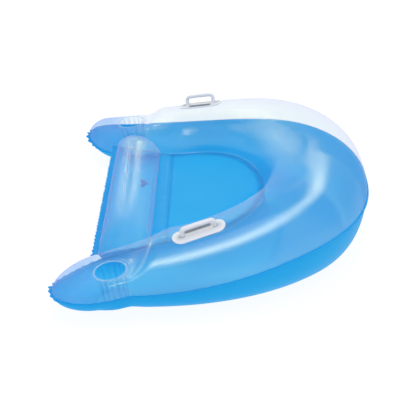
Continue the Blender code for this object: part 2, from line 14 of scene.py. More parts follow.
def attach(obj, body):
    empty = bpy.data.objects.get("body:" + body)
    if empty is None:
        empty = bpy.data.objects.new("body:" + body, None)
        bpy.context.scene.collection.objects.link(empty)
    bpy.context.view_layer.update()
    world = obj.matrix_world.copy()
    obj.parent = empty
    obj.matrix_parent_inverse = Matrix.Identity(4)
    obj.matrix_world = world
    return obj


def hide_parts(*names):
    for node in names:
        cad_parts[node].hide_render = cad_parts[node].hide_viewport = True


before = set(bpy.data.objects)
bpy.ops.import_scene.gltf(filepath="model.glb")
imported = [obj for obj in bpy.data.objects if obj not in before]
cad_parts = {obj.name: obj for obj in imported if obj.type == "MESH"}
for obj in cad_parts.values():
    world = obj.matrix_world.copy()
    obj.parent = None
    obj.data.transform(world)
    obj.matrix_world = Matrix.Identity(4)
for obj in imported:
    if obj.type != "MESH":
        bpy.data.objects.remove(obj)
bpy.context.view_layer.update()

ROOT = "lounger"

# ---------------------------------------------------------------- the lounger's shape, close to its CAD (metres)
SPLIT = 0.0007
OUT_X, OUT_A, OUT_B, OUT_N = -0.250, 0.734, 0.566, 2.33
IN_X, IN_A, IN_B, IN_N = -0.0965, 0.2545, 0.294, 2.0
TIP_X, TIP_Y, CAP_LEN = -0.474, 0.510, 0.120
ARM_OUT = (0.576, 0.582, 0.590, 0.606)
ARM_IN = (0.310, 0.344, 0.391, 0.436)
CAP_START = 0.60
STATIONS = (0.0, 0.5, 1.0, 1.25, 1.5, 1.75, 2.0)
SEAM_OUT_Z = (0.182, 0.178, 0.105, 0.097, 0.092, 0.089, 0.088)
SEAM_IN_Z = (0.150, 0.147, 0.119, 0.109, 0.093, 0.076, 0.088)
RISE = (0.142, 0.139, 0.107, 0.071, 0.066, 0.074, 0.074)
UNDERSIDE = (-0.055, -0.003, 0.010, 0.013, 0.021, 0.024, 0.024)
FLANGE_OUT, FLANGE_TIP, FLANGE_ARM, FLANGE_WELL = 0.006, 0.012, 0.016, 0.020
BOL_X, BOL_R, BOL_Z = -0.277, 0.0765, 0.112
BOL_END_GAP, BOL_FAR_LEN, BOL_NEAR_LEN = 0.003, 0.055, 0.030
BOL_FRONT, BOL_REAR = 0.024, -0.157
CUP_X, CUP_Y, CUP_Z = -0.310, 0.4965, 0.146
CUP_R, CUP_RIM_R, CUP_BASE_R, CUP_DEPTH = 0.0465, 0.0515, 0.0405, 0.095
CUP_TILT_X, CUP_TILT_Y = math.radians(7.5), math.radians(1.5)
HAN_X, HAN_Y, HAN_YAW = {-1: -0.050, 1: -0.058}, 0.440, math.radians(14)
HAN_LEN, HAN_WID, HAN_LEAN = 0.160, 0.056, math.radians(20)
HAN_SPAN, HAN_RISE, HAN_BAR_W, HAN_BAR_T, HAN_BEND = 0.098, 0.0370, 0.0145, 0.0110, 0.012
VAL_HINGE_R, VAL_HINGE_Z = 0.0105, 0.0037


def hermite(x, xs, ys, first=None):
    n = len(xs)
    i = 0
    while i < n - 2 and x > xs[i + 1]:
        i += 1

    def slope(k):
        if k == 0:
            return (ys[1] - ys[0]) / (xs[1] - xs[0]) if first is None else first
        if k == n - 1:
            return (ys[-1] - ys[-2]) / (xs[-1] - xs[-2])
        h0, h1 = xs[k] - xs[k - 1], xs[k + 1] - xs[k]
        return ((ys[k] - ys[k - 1]) / h0 * h1 + (ys[k + 1] - ys[k]) / h1 * h0) / (h0 + h1)

    h = xs[i + 1] - xs[i]
    t = (x - xs[i]) / h
    return ((2 * t ** 3 - 3 * t ** 2 + 1) * ys[i] + (t ** 3 - 2 * t ** 2 + t) * h * slope(i)
            + (3 * t ** 2 - 2 * t ** 3) * ys[i + 1] + (t ** 3 - t ** 2) * h * slope(i + 1))


def station(u):
    if u <= 1.0:
        a = u * math.pi / 2
        c, s = max(math.cos(a), 0.0), math.sin(a)
        ox, oy = OUT_X + OUT_A * c ** (2 / OUT_N), OUT_B * s ** (2 / OUT_N)
        ix, iy = IN_X + IN_A * c ** (2 / IN_N), IN_B * s ** (2 / IN_N)
        cap = 1.0
    else:
        v = u - 1.0
        cap_x = TIP_X + CAP_LEN
        if v < CAP_START:
            k = v / CAP_START
            ox, ix, cap = OUT_X + (cap_x - OUT_X) * k, IN_X + (cap_x - IN_X) * k, 1.0
        else:
            ph = (v - CAP_START) / (1 - CAP_START) * math.pi / 2
            ox = ix = cap_x - CAP_LEN * math.sin(ph)
            cap = max(math.cos(ph), 0.0)
        vs = (0.0, 0.25, 0.5, 0.75, 1.0)
        oy = TIP_Y + (hermite(v, vs, (OUT_B,) + ARM_OUT, 0.0) - TIP_Y) * cap
        iy = TIP_Y - (TIP_Y - hermite(v, vs, (IN_B,) + ARM_IN, 0.0)) * cap
    zo, zi = hermite(u, STATIONS, SEAM_OUT_Z, 0.0), hermite(u, STATIONS, SEAM_IN_Z, 0.0)
    return (ox, oy, zo), (ix, iy, zi), hermite(u, STATIONS, RISE, 0.0), cap


def inner_seam_at(x):
    lo, hi = 1.0, 1.9
    for _ in range(40):
        mid = (lo + hi) / 2
        if station(mid)[1][0] > x:
            lo = mid
        else:
            hi = mid
    p = station(lo)[1]
    return p[1], p[2]


def smooth(t):
    t = min(max(t, 0.0), 1.0)
    return t * t * (3 - 2 * t)


def bump(t):
    """0 at the ends, 1 in the middle of 0..1."""
    return math.sin(math.pi * min(max(t, 0.0), 1.0)) ** 2


def cup_centre(side):
    return Vector((CUP_X - side * 0.006, side * CUP_Y, CUP_Z - 0.003))


def cup_axis(side):
    n = Vector((-math.sin(CUP_TILT_X), side * math.sin(CUP_TILT_Y), 0.0))
    n.z = math.sqrt(1 - n.x ** 2 - n.y ** 2)
    return n


def frame_matrix(origin, normal, along):
    z = normal.normalized()
    x = (along - z * along.dot(z)).normalized()
    y = z.cross(x)
    m = Matrix((x, y, z)).transposed().to_4x4()
    m.translation = origin
    return m


# ---------------------------------------------------------------- materials
def new_material(name):
    m = bpy.data.materials.new(name)
    m.use_nodes = True
    nt = m.node_tree
    nt.nodes.clear()
    out = nt.nodes.new("ShaderNodeOutputMaterial")
    return m, nt, out


def node(nt, kind, **sockets):
    n = nt.nodes.new(kind)
    for k, v in sockets.items():
        key = k.replace("_", " ")
        n.inputs[key].default_value = v
    return n


def film_relief(nt, scale, strength, distance, fine=420.0):
    """Bump of a soft PVC film: slow waviness plus a very fine orange peel."""
    tc = nt.nodes.new("ShaderNodeTexCoord")
    slow = node(nt, "ShaderNodeTexNoise", Scale=scale, Detail=2.0, Roughness=0.45)
    peel = node(nt, "ShaderNodeTexNoise", Scale=fine, Detail=2.0, Roughness=0.5)
    nt.links.new(tc.outputs["Object"], slow.inputs["Vector"])
    nt.links.new(tc.outputs["Object"], peel.inputs["Vector"])
    b1 = node(nt, "ShaderNodeBump", Strength=strength, Distance=distance)
    b2 = node(nt, "ShaderNodeBump", Strength=0.10, Distance=0.0003)
    nt.links.new(slow.outputs["Fac"], b1.inputs["Height"])
    nt.links.new(peel.outputs["Fac"], b2.inputs["Height"])
    nt.links.new(b1.outputs["Normal"], b2.inputs["Normal"])
    return tc, slow, b2


def math_node(nt, operation, a=None, b=None):
    n = nt.nodes.new("ShaderNodeMath")
    n.operation = operation
    for i, v in enumerate((a, b)):
        if v is None:
            continue
        if isinstance(v, (int, float)):
            n.inputs[i].default_value = v
        else:
            nt.links.new(v, n.inputs[i])
    return n.outputs["Value"]


def mark(nt, name):
    """A number that the mesh carries on its vertices."""
    n = nt.nodes.new("ShaderNodeAttribute")
    n.attribute_name = name
    return n.outputs["Fac"]


def tint_mix(nt, a, b, fac):
    n = nt.nodes.new("ShaderNodeMix")
    n.data_type = "RGBA"
    for key, v in (("A", a), ("B", b)):
        if isinstance(v, tuple):
            n.inputs[key].default_value = v
        else:
            nt.links.new(v, n.inputs[key])
    nt.links.new(fac, n.inputs["Factor"])
    return n.outputs["Result"]


def clear_film(name, veil=0.085, edge=0.10, milk_face=(0.56, 1.0, 0.90), milk_edge=(0.76, 0.79, 1.0),
               through=(0.935, 0.942, 0.972), rough=0.18, shine=0.034, rim=0.12, relief=0.10, marks=False):
    """Clear PVC: mostly see-through, a little milky, whiter where it is seen edge-on, glossy on top.
    With marks, the mesh says where the film is milkier at a seam, thick at a tip or dull with wrinkles, and where it is
    tinted darker near the inner seam as painted shade."""
    m, nt, out = new_material(name)
    tc, slow, bumps = film_relief(nt, 7.0, relief, 0.004)
    lw = node(nt, "ShaderNodeLayerWeight", Blend=0.5)
    haze = nt.nodes.new("ShaderNodeMix")
    haze.data_type = "RGBA"
    haze.inputs["A"].default_value = (*milk_face, 1.0)
    haze.inputs["B"].default_value = (*milk_edge, 1.0)
    turn = nt.nodes.new("ShaderNodeMapRange")
    turn.inputs["From Min"].default_value = 0.40
    turn.inputs["From Max"].default_value = 0.85
    nt.links.new(math_node(nt, "ADD", lw.outputs["Facing"], math_node(nt, "MULTIPLY", slow.outputs["Fac"], 0.06)),
                 turn.inputs["Value"])
    nt.links.new(turn.outputs["Result"], haze.inputs["Factor"])
    milk = nt.nodes.new("ShaderNodeBsdfDiffuse")
    back = nt.nodes.new("ShaderNodeBsdfTranslucent")
    nt.links.new(haze.outputs["Result"], milk.inputs["Color"])
    nt.links.new(haze.outputs["Result"], back.inputs["Color"])
    body = nt.nodes.new("ShaderNodeMixShader")
    body.inputs["Fac"].default_value = 0.45
    nt.links.new(milk.outputs["BSDF"], body.inputs[1])
    nt.links.new(back.outputs["BSDF"], body.inputs[2])
    see = node(nt, "ShaderNodeBsdfTransparent", Color=(*through, 1.0))
    rise = math_node(nt, "POWER", lw.outputs["Facing"], 2.4)
    fac = math_node(nt, "ADD", math_node(nt, "MULTIPLY", rise, edge), veil)
    if marks:
        seam, thick, deep = (mark(nt, name) for name in ("seam", "thick", "deep"))
        tint = tint_mix(nt, (*through, 1.0), (0.68, 0.77, 0.97, 1.0), thick)
        # painted shade: where the mesh marks it near the inner seam, the see-through colour is tinted darker and the
        # milk thinned
        nt.links.new(tint_mix(nt, tint, (0.72, 0.88, 0.95, 1.0), deep), see.inputs["Color"])
        fac = math_node(nt, "ADD", fac, math_node(nt, "MULTIPLY", seam, 0.07))
        fac = math_node(nt, "ADD", fac, math_node(nt, "MULTIPLY", thick, 0.08))
        fac = math_node(nt, "MULTIPLY", fac, math_node(nt, "SUBTRACT", 1.0, math_node(nt, "MULTIPLY", deep, 0.75)))
    mix = nt.nodes.new("ShaderNodeMixShader")
    nt.links.new(fac, mix.inputs["Fac"])
    nt.links.new(see.outputs["BSDF"], mix.inputs[1])
    nt.links.new(body.outputs["Shader"], mix.inputs[2])
    gloss = node(nt, "ShaderNodeBsdfGlossy", Color=(1.0, 1.0, 1.0, 1.0), Roughness=rough)
    nt.links.new(bumps.outputs["Normal"], gloss.inputs["Normal"])
    # the same sheen on both faces of the film, which a Fresnel node doesn't give
    side = node(nt, "ShaderNodeLayerWeight", Blend=0.5)
    nt.links.new(bumps.outputs["Normal"], side.inputs["Normal"])
    sheen = math_node(nt, "ADD", math_node(nt, "MULTIPLY", math_node(nt, "POWER", side.outputs["Facing"], 4.5), rim), shine)
    if marks:
        # where the film is drawn into fine wrinkles its shine is broken up
        dull = mark(nt, "dull")
        nt.links.new(math_node(nt, "ADD", math_node(nt, "MULTIPLY", dull, 0.35), rough), gloss.inputs["Roughness"])
        sheen = math_node(nt, "MULTIPLY", sheen, math_node(nt, "SUBTRACT", 1.0, math_node(nt, "MULTIPLY", dull, 0.85)))
    top = nt.nodes.new("ShaderNodeMixShader")
    nt.links.new(sheen, top.inputs["Fac"])
    nt.links.new(mix.outputs["Shader"], top.inputs[1])
    nt.links.new(gloss.outputs["BSDF"], top.inputs[2])
    nt.links.new(top.outputs["Shader"], out.inputs["Surface"])
    return m


def blue_film(name, color, deep, glow=0.35, rough=0.34, gloss=0.16, welded_and_shaded=False, painted_light_and_shade=False):
    """Translucent blue PVC: dyed through, slightly darker where the film is thick, along pressed welds and in painted
    shade; marked meshes also get painted light and painted contact shade.
    """
    m, nt, out = new_material(name)
    tc, slow, bumps = film_relief(nt, 6.0, 0.10, 0.004)
    cloud = node(nt, "ShaderNodeTexNoise", Scale=2.6, Detail=3.0, Roughness=0.5)
    nt.links.new(tc.outputs["Object"], cloud.inputs["Vector"])
    tone = nt.nodes.new("ShaderNodeMix")
    tone.data_type = "RGBA"
    tone.inputs["A"].default_value = (*deep, 1.0)
    tone.inputs["B"].default_value = (*color, 1.0)
    spread = nt.nodes.new("ShaderNodeMapRange")
    spread.inputs["From Min"].default_value = 0.32
    spread.inputs["From Max"].default_value = 0.60
    nt.links.new(cloud.outputs["Fac"], spread.inputs["Value"])
    nt.links.new(spread.outputs["Result"], tone.inputs["Factor"])
    skin = node(nt, "ShaderNodeBsdfPrincipled", Roughness=rough, IOR=1.5)
    skin.inputs["Specular IOR Level"].default_value = gloss
    glow_b = nt.nodes.new("ShaderNodeBsdfTranslucent")
    dye = tone.outputs["Result"]
    if welded_and_shaded:
        # pressed weld lines look darker, since the film is thin and hard there; the broader darker bands along the
        # inner seam and beside the bolster's weld are painted shade
        dye = tint_mix(nt, dye, (deep[0] * 0.6, deep[1] * 0.66, deep[2] * 0.86, 1.0), mark(nt, "weld_and_shade"))
    # painted light and shade: the marked inner half of the film is tinted paler, and the part resting on the ground
    # darker
    if painted_light_and_shade:
        dye = tint_mix(nt, dye, (color[0] + 0.008, color[1] + 0.05, min(color[2] + 0.02, 1.0), 1.0), mark(nt, "painted_light"))
        dye = tint_mix(nt, dye, (color[0] * 0.4, color[1] * 0.86, color[2] * 0.94, 1.0), mark(nt, "painted_contact_shade"))
    nt.links.new(dye, skin.inputs["Base Color"])
    nt.links.new(dye, glow_b.inputs["Color"])
    nt.links.new(bumps.outputs["Normal"], skin.inputs["Normal"])
    mix = nt.nodes.new("ShaderNodeMixShader")
    mix.inputs["Fac"].default_value = glow
    nt.links.new(skin.outputs["BSDF"], mix.inputs[1])
    nt.links.new(glow_b.outputs["BSDF"], mix.inputs[2])
    nt.links.new(mix.outputs["Shader"], out.inputs["Surface"])
    return m


def pleated_film(name):
    """The cup wells' gathered film: clear with a blue cast, with painted shade that makes it darker and milkier down in
    each fold.
    """
    m, nt, out = new_material(name)
    tc, slow, bumps = film_relief(nt, 9.0, 0.10, 0.003)
    fold = nt.nodes.new("ShaderNodeAttribute")
    fold.attribute_name = "fold"
    # painted shade: the fold mark darkens the blue and thickens the milk in each pleat's valley
    tone = nt.nodes.new("ShaderNodeMix")
    tone.data_type = "RGBA"
    tone.inputs["A"].default_value = (0.10, 0.55, 0.86, 1.0)
    tone.inputs["B"].default_value = (0.012, 0.33, 0.74, 1.0)
    nt.links.new(fold.outputs["Fac"], tone.inputs["Factor"])
    milk = nt.nodes.new("ShaderNodeBsdfDiffuse")
    back = nt.nodes.new("ShaderNodeBsdfTranslucent")
    nt.links.new(tone.outputs["Result"], milk.inputs["Color"])
    nt.links.new(tone.outputs["Result"], back.inputs["Color"])
    body = nt.nodes.new("ShaderNodeMixShader")
    body.inputs["Fac"].default_value = 0.5
    nt.links.new(milk.outputs["BSDF"], body.inputs[1])
    nt.links.new(back.outputs["BSDF"], body.inputs[2])
    see = node(nt, "ShaderNodeBsdfTransparent", Color=(0.965, 0.985, 0.992, 1.0))
    mix = nt.nodes.new("ShaderNodeMixShader")
    nt.links.new(math_node(nt, "ADD", math_node(nt, "MULTIPLY", fold.outputs["Fac"], 0.30), 0.05), mix.inputs["Fac"])
    nt.links.new(see.outputs["BSDF"], mix.inputs[1])
    nt.links.new(body.outputs["Shader"], mix.inputs[2])
    gloss = node(nt, "ShaderNodeBsdfGlossy", Color=(1.0, 1.0, 1.0, 1.0), Roughness=0.25)
    nt.links.new(bumps.outputs["Normal"], gloss.inputs["Normal"])
    top = nt.nodes.new("ShaderNodeMixShader")
    top.inputs["Fac"].default_value = 0.006
    nt.links.new(mix.outputs["Shader"], top.inputs[1])
    nt.links.new(gloss.outputs["BSDF"], top.inputs[2])
    nt.links.new(top.outputs["Shader"], out.inputs["Surface"])
    return m


def moulded(name, color, rough=0.42, alpha=None):
    """Moulded soft plastic with a fine eggshell texture and a slight colour drift."""
    m, nt, out = new_material(name)
    tc = nt.nodes.new("ShaderNodeTexCoord")
    drift = node(nt, "ShaderNodeTexNoise", Scale=28.0, Detail=3.0)
    grain = node(nt, "ShaderNodeTexVoronoi", Scale=900.0)
    nt.links.new(tc.outputs["Object"], drift.inputs["Vector"])
    nt.links.new(tc.outputs["Object"], grain.inputs["Vector"])
    tone = nt.nodes.new("ShaderNodeMix")
    tone.data_type = "RGBA"
    tone.inputs["A"].default_value = (*[c * 0.95 for c in color], 1.0)
    tone.inputs["B"].default_value = (*color, 1.0)
    nt.links.new(drift.outputs["Fac"], tone.inputs["Factor"])
    b = node(nt, "ShaderNodeBump", Strength=0.12, Distance=0.0002)
    nt.links.new(grain.outputs["Distance"], b.inputs["Height"])
    skin = node(nt, "ShaderNodeBsdfPrincipled", Roughness=rough, IOR=1.5)
    skin.inputs["Specular IOR Level"].default_value = 0.15 if alpha is None else 0.35
    if alpha is None:
        # painted shade: no grime, but ambient occlusion and the plate's shade mark darken the plastic down between
        # plate and grip
        ao = node(nt, "ShaderNodeAmbientOcclusion", Distance=0.014)
        ao.samples = 8
        nt.links.new(tone.outputs["Result"], ao.inputs["Color"])
        dark = nt.nodes.new("ShaderNodeMix")
        dark.data_type = "RGBA"
        dark.inputs["A"].default_value = (0.11, 0.145, 0.215, 1.0)
        nt.links.new(tone.outputs["Result"], dark.inputs["B"])
        lift = nt.nodes.new("ShaderNodeMapRange")
        lift.inputs["From Min"].default_value = 0.15
        lift.inputs["From Max"].default_value = 0.65
        nt.links.new(ao.outputs["AO"], lift.inputs["Value"])
        # painted shade in the finger recess behind the grip
        recess = nt.nodes.new("ShaderNodeAttribute")
        recess.attribute_name = "shade"
        open_part = math_node(nt, "SUBTRACT", 1.0, math_node(nt, "MULTIPLY", recess.outputs["Fac"], 0.96))
        nt.links.new(math_node(nt, "MULTIPLY", lift.outputs["Result"], open_part), dark.inputs["Factor"])
        nt.links.new(dark.outputs["Result"], skin.inputs["Base Color"])
    else:
        nt.links.new(tone.outputs["Result"], skin.inputs["Base Color"])
    nt.links.new(b.outputs["Normal"], skin.inputs["Normal"])
    if alpha is None:
        nt.links.new(skin.outputs["BSDF"], out.inputs["Surface"])
    else:
        see = node(nt, "ShaderNodeBsdfTransparent", Color=(0.93, 0.95, 1.0, 1.0))
        mix = nt.nodes.new("ShaderNodeMixShader")
        mix.inputs["Fac"].default_value = alpha
        nt.links.new(see.outputs["BSDF"], mix.inputs[1])
        nt.links.new(skin.outputs["BSDF"], mix.inputs[2])
        nt.links.new(mix.outputs["Shader"], out.inputs["Surface"])
    return m


CLEAR = clear_film("clear_pvc", marks=True)
CLEAR_BOLSTER = clear_film("clear_pvc_bolster", veil=0.165, edge=0.20, milk_face=(0.62, 0.98, 0.98), marks=True, shine=0.080)
CLEAR_CUP = pleated_film("clear_pvc_pleated")
CLEAR_WELD = clear_film("clear_pvc_weld", veil=0.005, edge=0.01, through=(0.93, 0.965, 0.985), rough=0.35, shine=0.004, rim=0.02)
CLEAR_BASE = clear_film("clear_pvc_cup_base", veil=0.03, edge=0.02, milk_face=(0.05, 0.50, 0.85), milk_edge=(0.05, 0.50, 0.85),
                        through=(0.90, 0.975, 0.995), rough=0.35, shine=0.004, rim=0.02)
CLEAR_BEAD = clear_film("clear_pvc_bead", veil=0.19, edge=0.12, milk_face=(0.72, 0.95, 1.0), rough=0.40, shine=0.006, rim=0.03)
BLUE = blue_film("blue_pvc", (0.022, 0.43, 0.84), (0.018, 0.41, 0.82), gloss=0.07, painted_light_and_shade=True)
BLUE_EDGE = blue_film("blue_pvc_edge", (0.010, 0.33, 0.76), (0.008, 0.30, 0.73), gloss=0.03)
BLUE_FLOOR = blue_film("blue_pvc_floor", (0.011, 0.393, 0.81), (0.008, 0.373, 0.79), glow=0.30, rough=0.40, gloss=0.03, welded_and_shaded=True)
HANDLE = moulded("handle_soft_plastic", (0.66, 0.69, 0.77))
VALVE = moulded("valve_soft_plastic", (0.20, 0.40, 0.80), rough=0.32, alpha=0.50)


# ---------------------------------------------------------------- mesh helpers
def make_piece(name, bm, mat, replaces=(), body=ROOT, matrix=None, mats=(), auto=None):
    me = bpy.data.meshes.new(name)
    bm.to_mesh(me)
    bm.free()
    me.shade_smooth()
    if auto:
        me.set_sharp_from_angle(angle=math.radians(auto))
    ob = bpy.data.objects.new(name, me)
    bpy.context.scene.collection.objects.link(ob)
    me.materials.append(mat)
    for extra in mats:
        me.materials.append(extra)
    if matrix is not None:
        ob.matrix_world = matrix
    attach(ob, body)
    if replaces:
        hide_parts(*replaces)
    return ob


def up_or_down(bm, up):
    bmesh.ops.recalc_face_normals(bm, faces=bm.faces)
    if (sum(f.normal.z * f.calc_area() for f in bm.faces) > 0) != up:
        bmesh.ops.reverse_faces(bm, faces=bm.faces)


def revolve(profile, steps, closed=True):
    bm = bmesh.new()
    rings = []
    for r, z in profile:
        if r < 1e-9:
            rings.append([bm.verts.new((0, 0, z))])
        else:
            rings.append([bm.verts.new((r * math.cos(2 * math.pi * k / steps), r * math.sin(2 * math.pi * k / steps), z))
                          for k in range(steps)])
    pairs = list(zip(rings, rings[1:] + rings[:1])) if closed else list(zip(rings, rings[1:]))
    for a, b in pairs:
        if len(a) == 1 and len(b) == 1:
            continue
        for k in range(steps):
            j = (k + 1) % steps
            if len(a) == 1:
                bm.faces.new((a[0], b[j], b[k]))
            elif len(b) == 1:
                bm.faces.new((a[k], a[j], b[0]))
            else:
                bm.faces.new((a[k], a[j], b[j], b[k]))
    bmesh.ops.recalc_face_normals(bm, faces=bm.faces)
    if closed and bm.calc_volume(signed=True) < 0:
        bmesh.ops.reverse_faces(bm, faces=bm.faces)
    return bm


# ---------------------------------------------------------------- main chamber
def row_list():
    """Stations from the near tip round the back to the far tip, as (side, u)."""
    arm = [2.0 - i / 72 for i in range(73)]                # 2 ... 1
    back = [1.0 - i / 84 for i in range(1, 85)]            # ... 0
    half = arm + back
    return [(-1, u) for u in half] + [(1, u) for u in reversed(half[:-1])]


ROW_LIST = row_list()


def dimple(p, s):
    for side in (-1, 1):
        c, n = cup_centre(side), cup_axis(side)
        r = math.hypot(p.x - c.x, p.y - c.y)
        w = smooth((0.118 - r) / (0.118 - 0.056)) * smooth(s / 0.46)
        z = c.z - (n.x * (p.x - c.x) + n.y * (p.y - c.y)) / n.z
        p.z += (z - p.z) * w
    return p


def base_dimple(p, s):
    for side in (-1, 1):
        n = cup_axis(side)
        c = cup_centre(side) - n * (CUP_DEPTH + 0.0016)
        r = math.hypot(p.x - c.x, p.y - c.y)
        z = c.z - (n.x * (p.x - c.x) + n.y * (p.y - c.y)) / n.z
        w = smooth((0.080 - r) / (0.080 - 0.046)) * smooth(s / 0.35)
        p.z += (z - p.z) * w
    return p


def puckers(f, k, u, top):
    """Short wrinkles that run away from the seams, stronger round the arm tips and along the well."""
    q_out, q_in = f, math.pi - f
    tip = smooth((u - 1.45) / 0.4)
    a = 0.0
    ph = noise.noise(Vector((k * 0.07, 3.1 if top else 7.7, 0))) * 3.0
    for q, amp, freq in ((q_out, 0.0004 + 0.0013 * tip, 0.62), (q_in, 0.0007 + 0.0010 * tip, 0.80)):
        env = smooth(q / 0.06) * math.exp(-q / 0.16)
        wave = math.sin(k * freq + ph * 2) + 0.5 * math.sin(k * freq * 1.73 + ph)
        a += amp * env * wave
    return a


def shine_loss(side, u, f):
    """1 where wrinkles break up the film's shine: the arm tips, the near inner slope and the far outer slope."""
    inner = 1.40 + 0.90 * (1 - smooth(u / 0.32)) if side < 0 else 9.0
    outer = 1.70 - 1.70 * smooth((u - 0.05) / 0.2) if side < 0 else 1.70 + 0.28 * smooth(u / 0.2)
    return max(smooth((u - 1.22) / 0.22), smooth((f - inner) / 0.3), smooth((outer - f) / 0.3))


def ring_film(top):
    cols = 44
    bm = bmesh.new()
    seam_lay = bm.verts.layers.float.new("seam")
    dull_lay, thick_lay, painted_shade_lay = (bm.verts.layers.float.new(name) for name in ("dull", "thick", "deep"))
    painted_light_lay, painted_contact_shade_lay = (bm.verts.layers.float.new(name) for name in ("painted_light", "painted_contact_shade"))
    rows = []
    lift = SPLIT if top else -SPLIT
    for k, (side, u) in enumerate(ROW_LIST):
        o, i, rise, cap = station(u)
        if u >= 2.0:
            rows.append([bm.verts.new((o[0], side * o[1], o[2] + lift))])
            rows[-1][0][dull_lay] = rows[-1][0][thick_lay] = 1.0
            continue
        row = []
        for j in range(cols + 1):
            t = j / cols
            f = math.pi * (t - 0.045 * math.sin(2 * math.pi * t))     # closer together at the seams
            c, s = math.cos(f), math.sin(f)
            x = (o[0] + i[0]) / 2 + (o[0] - i[0]) / 2 * c
            y = (o[1] + i[1]) / 2 + (o[1] - i[1]) / 2 * c
            zl = o[2] * (1 + c) / 2 + i[2] * (1 - c) / 2
            wr = puckers(f, k, u, top) * min(cap * 1.6, 1.0)
            if top:
                p = dimple(Vector((x, side * y, zl + lift + (rise * cap + wr * 0.5) * s)), s)
            else:
                drop = zl + lift - hermite(u, STATIONS, UNDERSIDE, 0.0)
                z = zl + lift - (drop * cap + wr * 0.5) * s
                soft = 0.016
                z = z if z > soft else (soft * math.exp((z - soft) / soft) if z > -0.15 else 0.0)
                p = base_dimple(Vector((x, side * y, z)), s)
            n = Vector((c * (o[0] - i[0]), side * c * (o[1] - i[1]), (1 if top else -1) * s * rise)).normalized()
            p += n * wr
            row.append(bm.verts.new(p))
            row[-1][seam_lay] = math.exp(-f / 0.30) + 0.5 * math.exp(-(math.pi - f) / 0.30)
            row[-1][dull_lay] = shine_loss(side, u, f)
            row[-1][thick_lay] = smooth((u - 1.40) / 0.35)
            # painted light on the film's inner half, and painted contact shade where the film comes down to the ground
            row[-1][painted_light_lay] = smooth((f - 1.5) / 0.6)
            row[-1][painted_contact_shade_lay] = smooth((0.022 - p.z) / 0.020)
            # painted shade: marks the film near the inner seam, round the back and down the arms, to be tinted darker
            row[-1][painted_shade_lay] = smooth((f - 2.46 - 0.40 * smooth(u / 0.45)) / 0.14) * smooth((1.15 - u) / 0.25)
        rows.append(row)
    for a, b in zip(rows, rows[1:]):
        if len(a) == 1 or len(b) == 1:
            one, many = (a[0], b) if len(a) == 1 else (b[0], a)
            for j in range(cols):
                bm.faces.new((one, many[j], many[j + 1]))
        else:
            for j in range(cols):
                bm.faces.new((a[j], a[j + 1], b[j + 1], b[j]))
    loop = [r[0] for r in rows] + [r[-1] for r in reversed(rows[1:-1])]
    kinds = [("out", u, k) for k, (_, u) in enumerate(ROW_LIST)] + \
            [("in", u, len(ROW_LIST) - 2 - k) for k, (_, u) in enumerate(reversed(ROW_LIST[1:-1]))]
    n = len(loop)
    # evenly spaced arc length round the seam, for the ruffles
    arc, total = [0.0], 0.0
    for k in range(1, n):
        total += (loop[k].co - loop[k - 1].co).length
        arc.append(total)
    strips = [loop]
    steps = 4
    plan = []
    for k in range(n):
        a, b = loop[k - 1].co, loop[(k + 1) % n].co
        t = Vector((b.x - a.x, b.y - a.y, 0.0)).normalized()
        plan.append(Vector((t.y, -t.x, 0.0)))
    for q in range(1, steps + 1):
        ring = []
        for k in range(n):
            kind, u, _ = kinds[k]
            tip = smooth((u - 1.80) / 0.12)
            near = loop[k].co.y < 0
            if kind == "out":
                w = FLANGE_OUT + (FLANGE_TIP - FLANGE_OUT) * smooth((u - 1.62) / 0.22)
            else:
                w = FLANGE_WELL + (FLANGE_ARM - FLANGE_WELL) * smooth((u - 0.8) / 0.3)
            free = tip if kind == "out" else max(tip * 0.8, smooth((u - 1.28) / 0.2) * (0.35 if near else 0.85))
            if top:
                w *= 0.72 - 0.3 * free
            s = arc[k]
            d = q / steps
            ruffle = 0.75 * math.sin(s * 2 * math.pi / 0.024 + 4.2 * noise.noise(Vector((s * 13, 0, 1))))
            ruffle += 0.55 * noise.noise(Vector((s * 70, 4.0, 1)))
            tooth = smooth(0.5 + 0.62 * ruffle)
            wave = (0.0020 * free) * ruffle * d * d
            trim = w * (1 - 0.62 * free * (1 - tooth)) if not top else w * (1 - 0.55 * free)
            p = loop[k].co + plan[k] * (trim * d)
            p.z += wave
            ring.append(bm.verts.new(p))
        strips.append(ring)
    for a, b in zip(strips, strips[1:]):
        for k in range(n):
            j = (k + 1) % n
            fc = bm.faces.new((a[k], a[j], b[j], b[k]))
            fc.material_index = 1
    up_or_down(bm, top)
    return bm


def cut_holes(bm, centre_normal_radius, keep_away=0.25):
    """Removes the faces inside each circle, after splitting the film's edges where the circle crosses them."""
    for c, n, r in centre_normal_radius:
        near = [f for f in bm.faces if (f.calc_center_median() - c).length < r * 2.2]
        m = frame_matrix(c, n, Vector((1, 0, 0)) if abs(n.x) < 0.9 else Vector((0, 0, 1)))
        inv = m.inverted()
        for k in range(24):
            a = 2 * math.pi * (k + 0.5) / 24
            out = m.to_3x3() @ Vector((math.cos(a), math.sin(a), 0))
            p = c + out * (r * math.cos(math.pi / 24))
            near = [f for f in near if f.is_valid]
            geom = list({e for f in near for e in f.edges}) + list({v for f in near for v in f.verts}) + near
            res = bmesh.ops.bisect_plane(bm, geom=geom, plane_co=p, plane_no=out, dist=1e-7)
            near = list({f for f in near if f.is_valid} | {g for g in res["geom"] if isinstance(g, bmesh.types.BMFace)})
        gone = []
        for f in near:
            if not f.is_valid:
                continue
            q = inv @ f.calc_center_median()
            if abs(q.z) < keep_away * 0.1 and math.hypot(q.x, q.y) < r * 0.995:
                gone.append(f)
        bmesh.ops.delete(bm, geom=gone, context="FACES")
    return bm


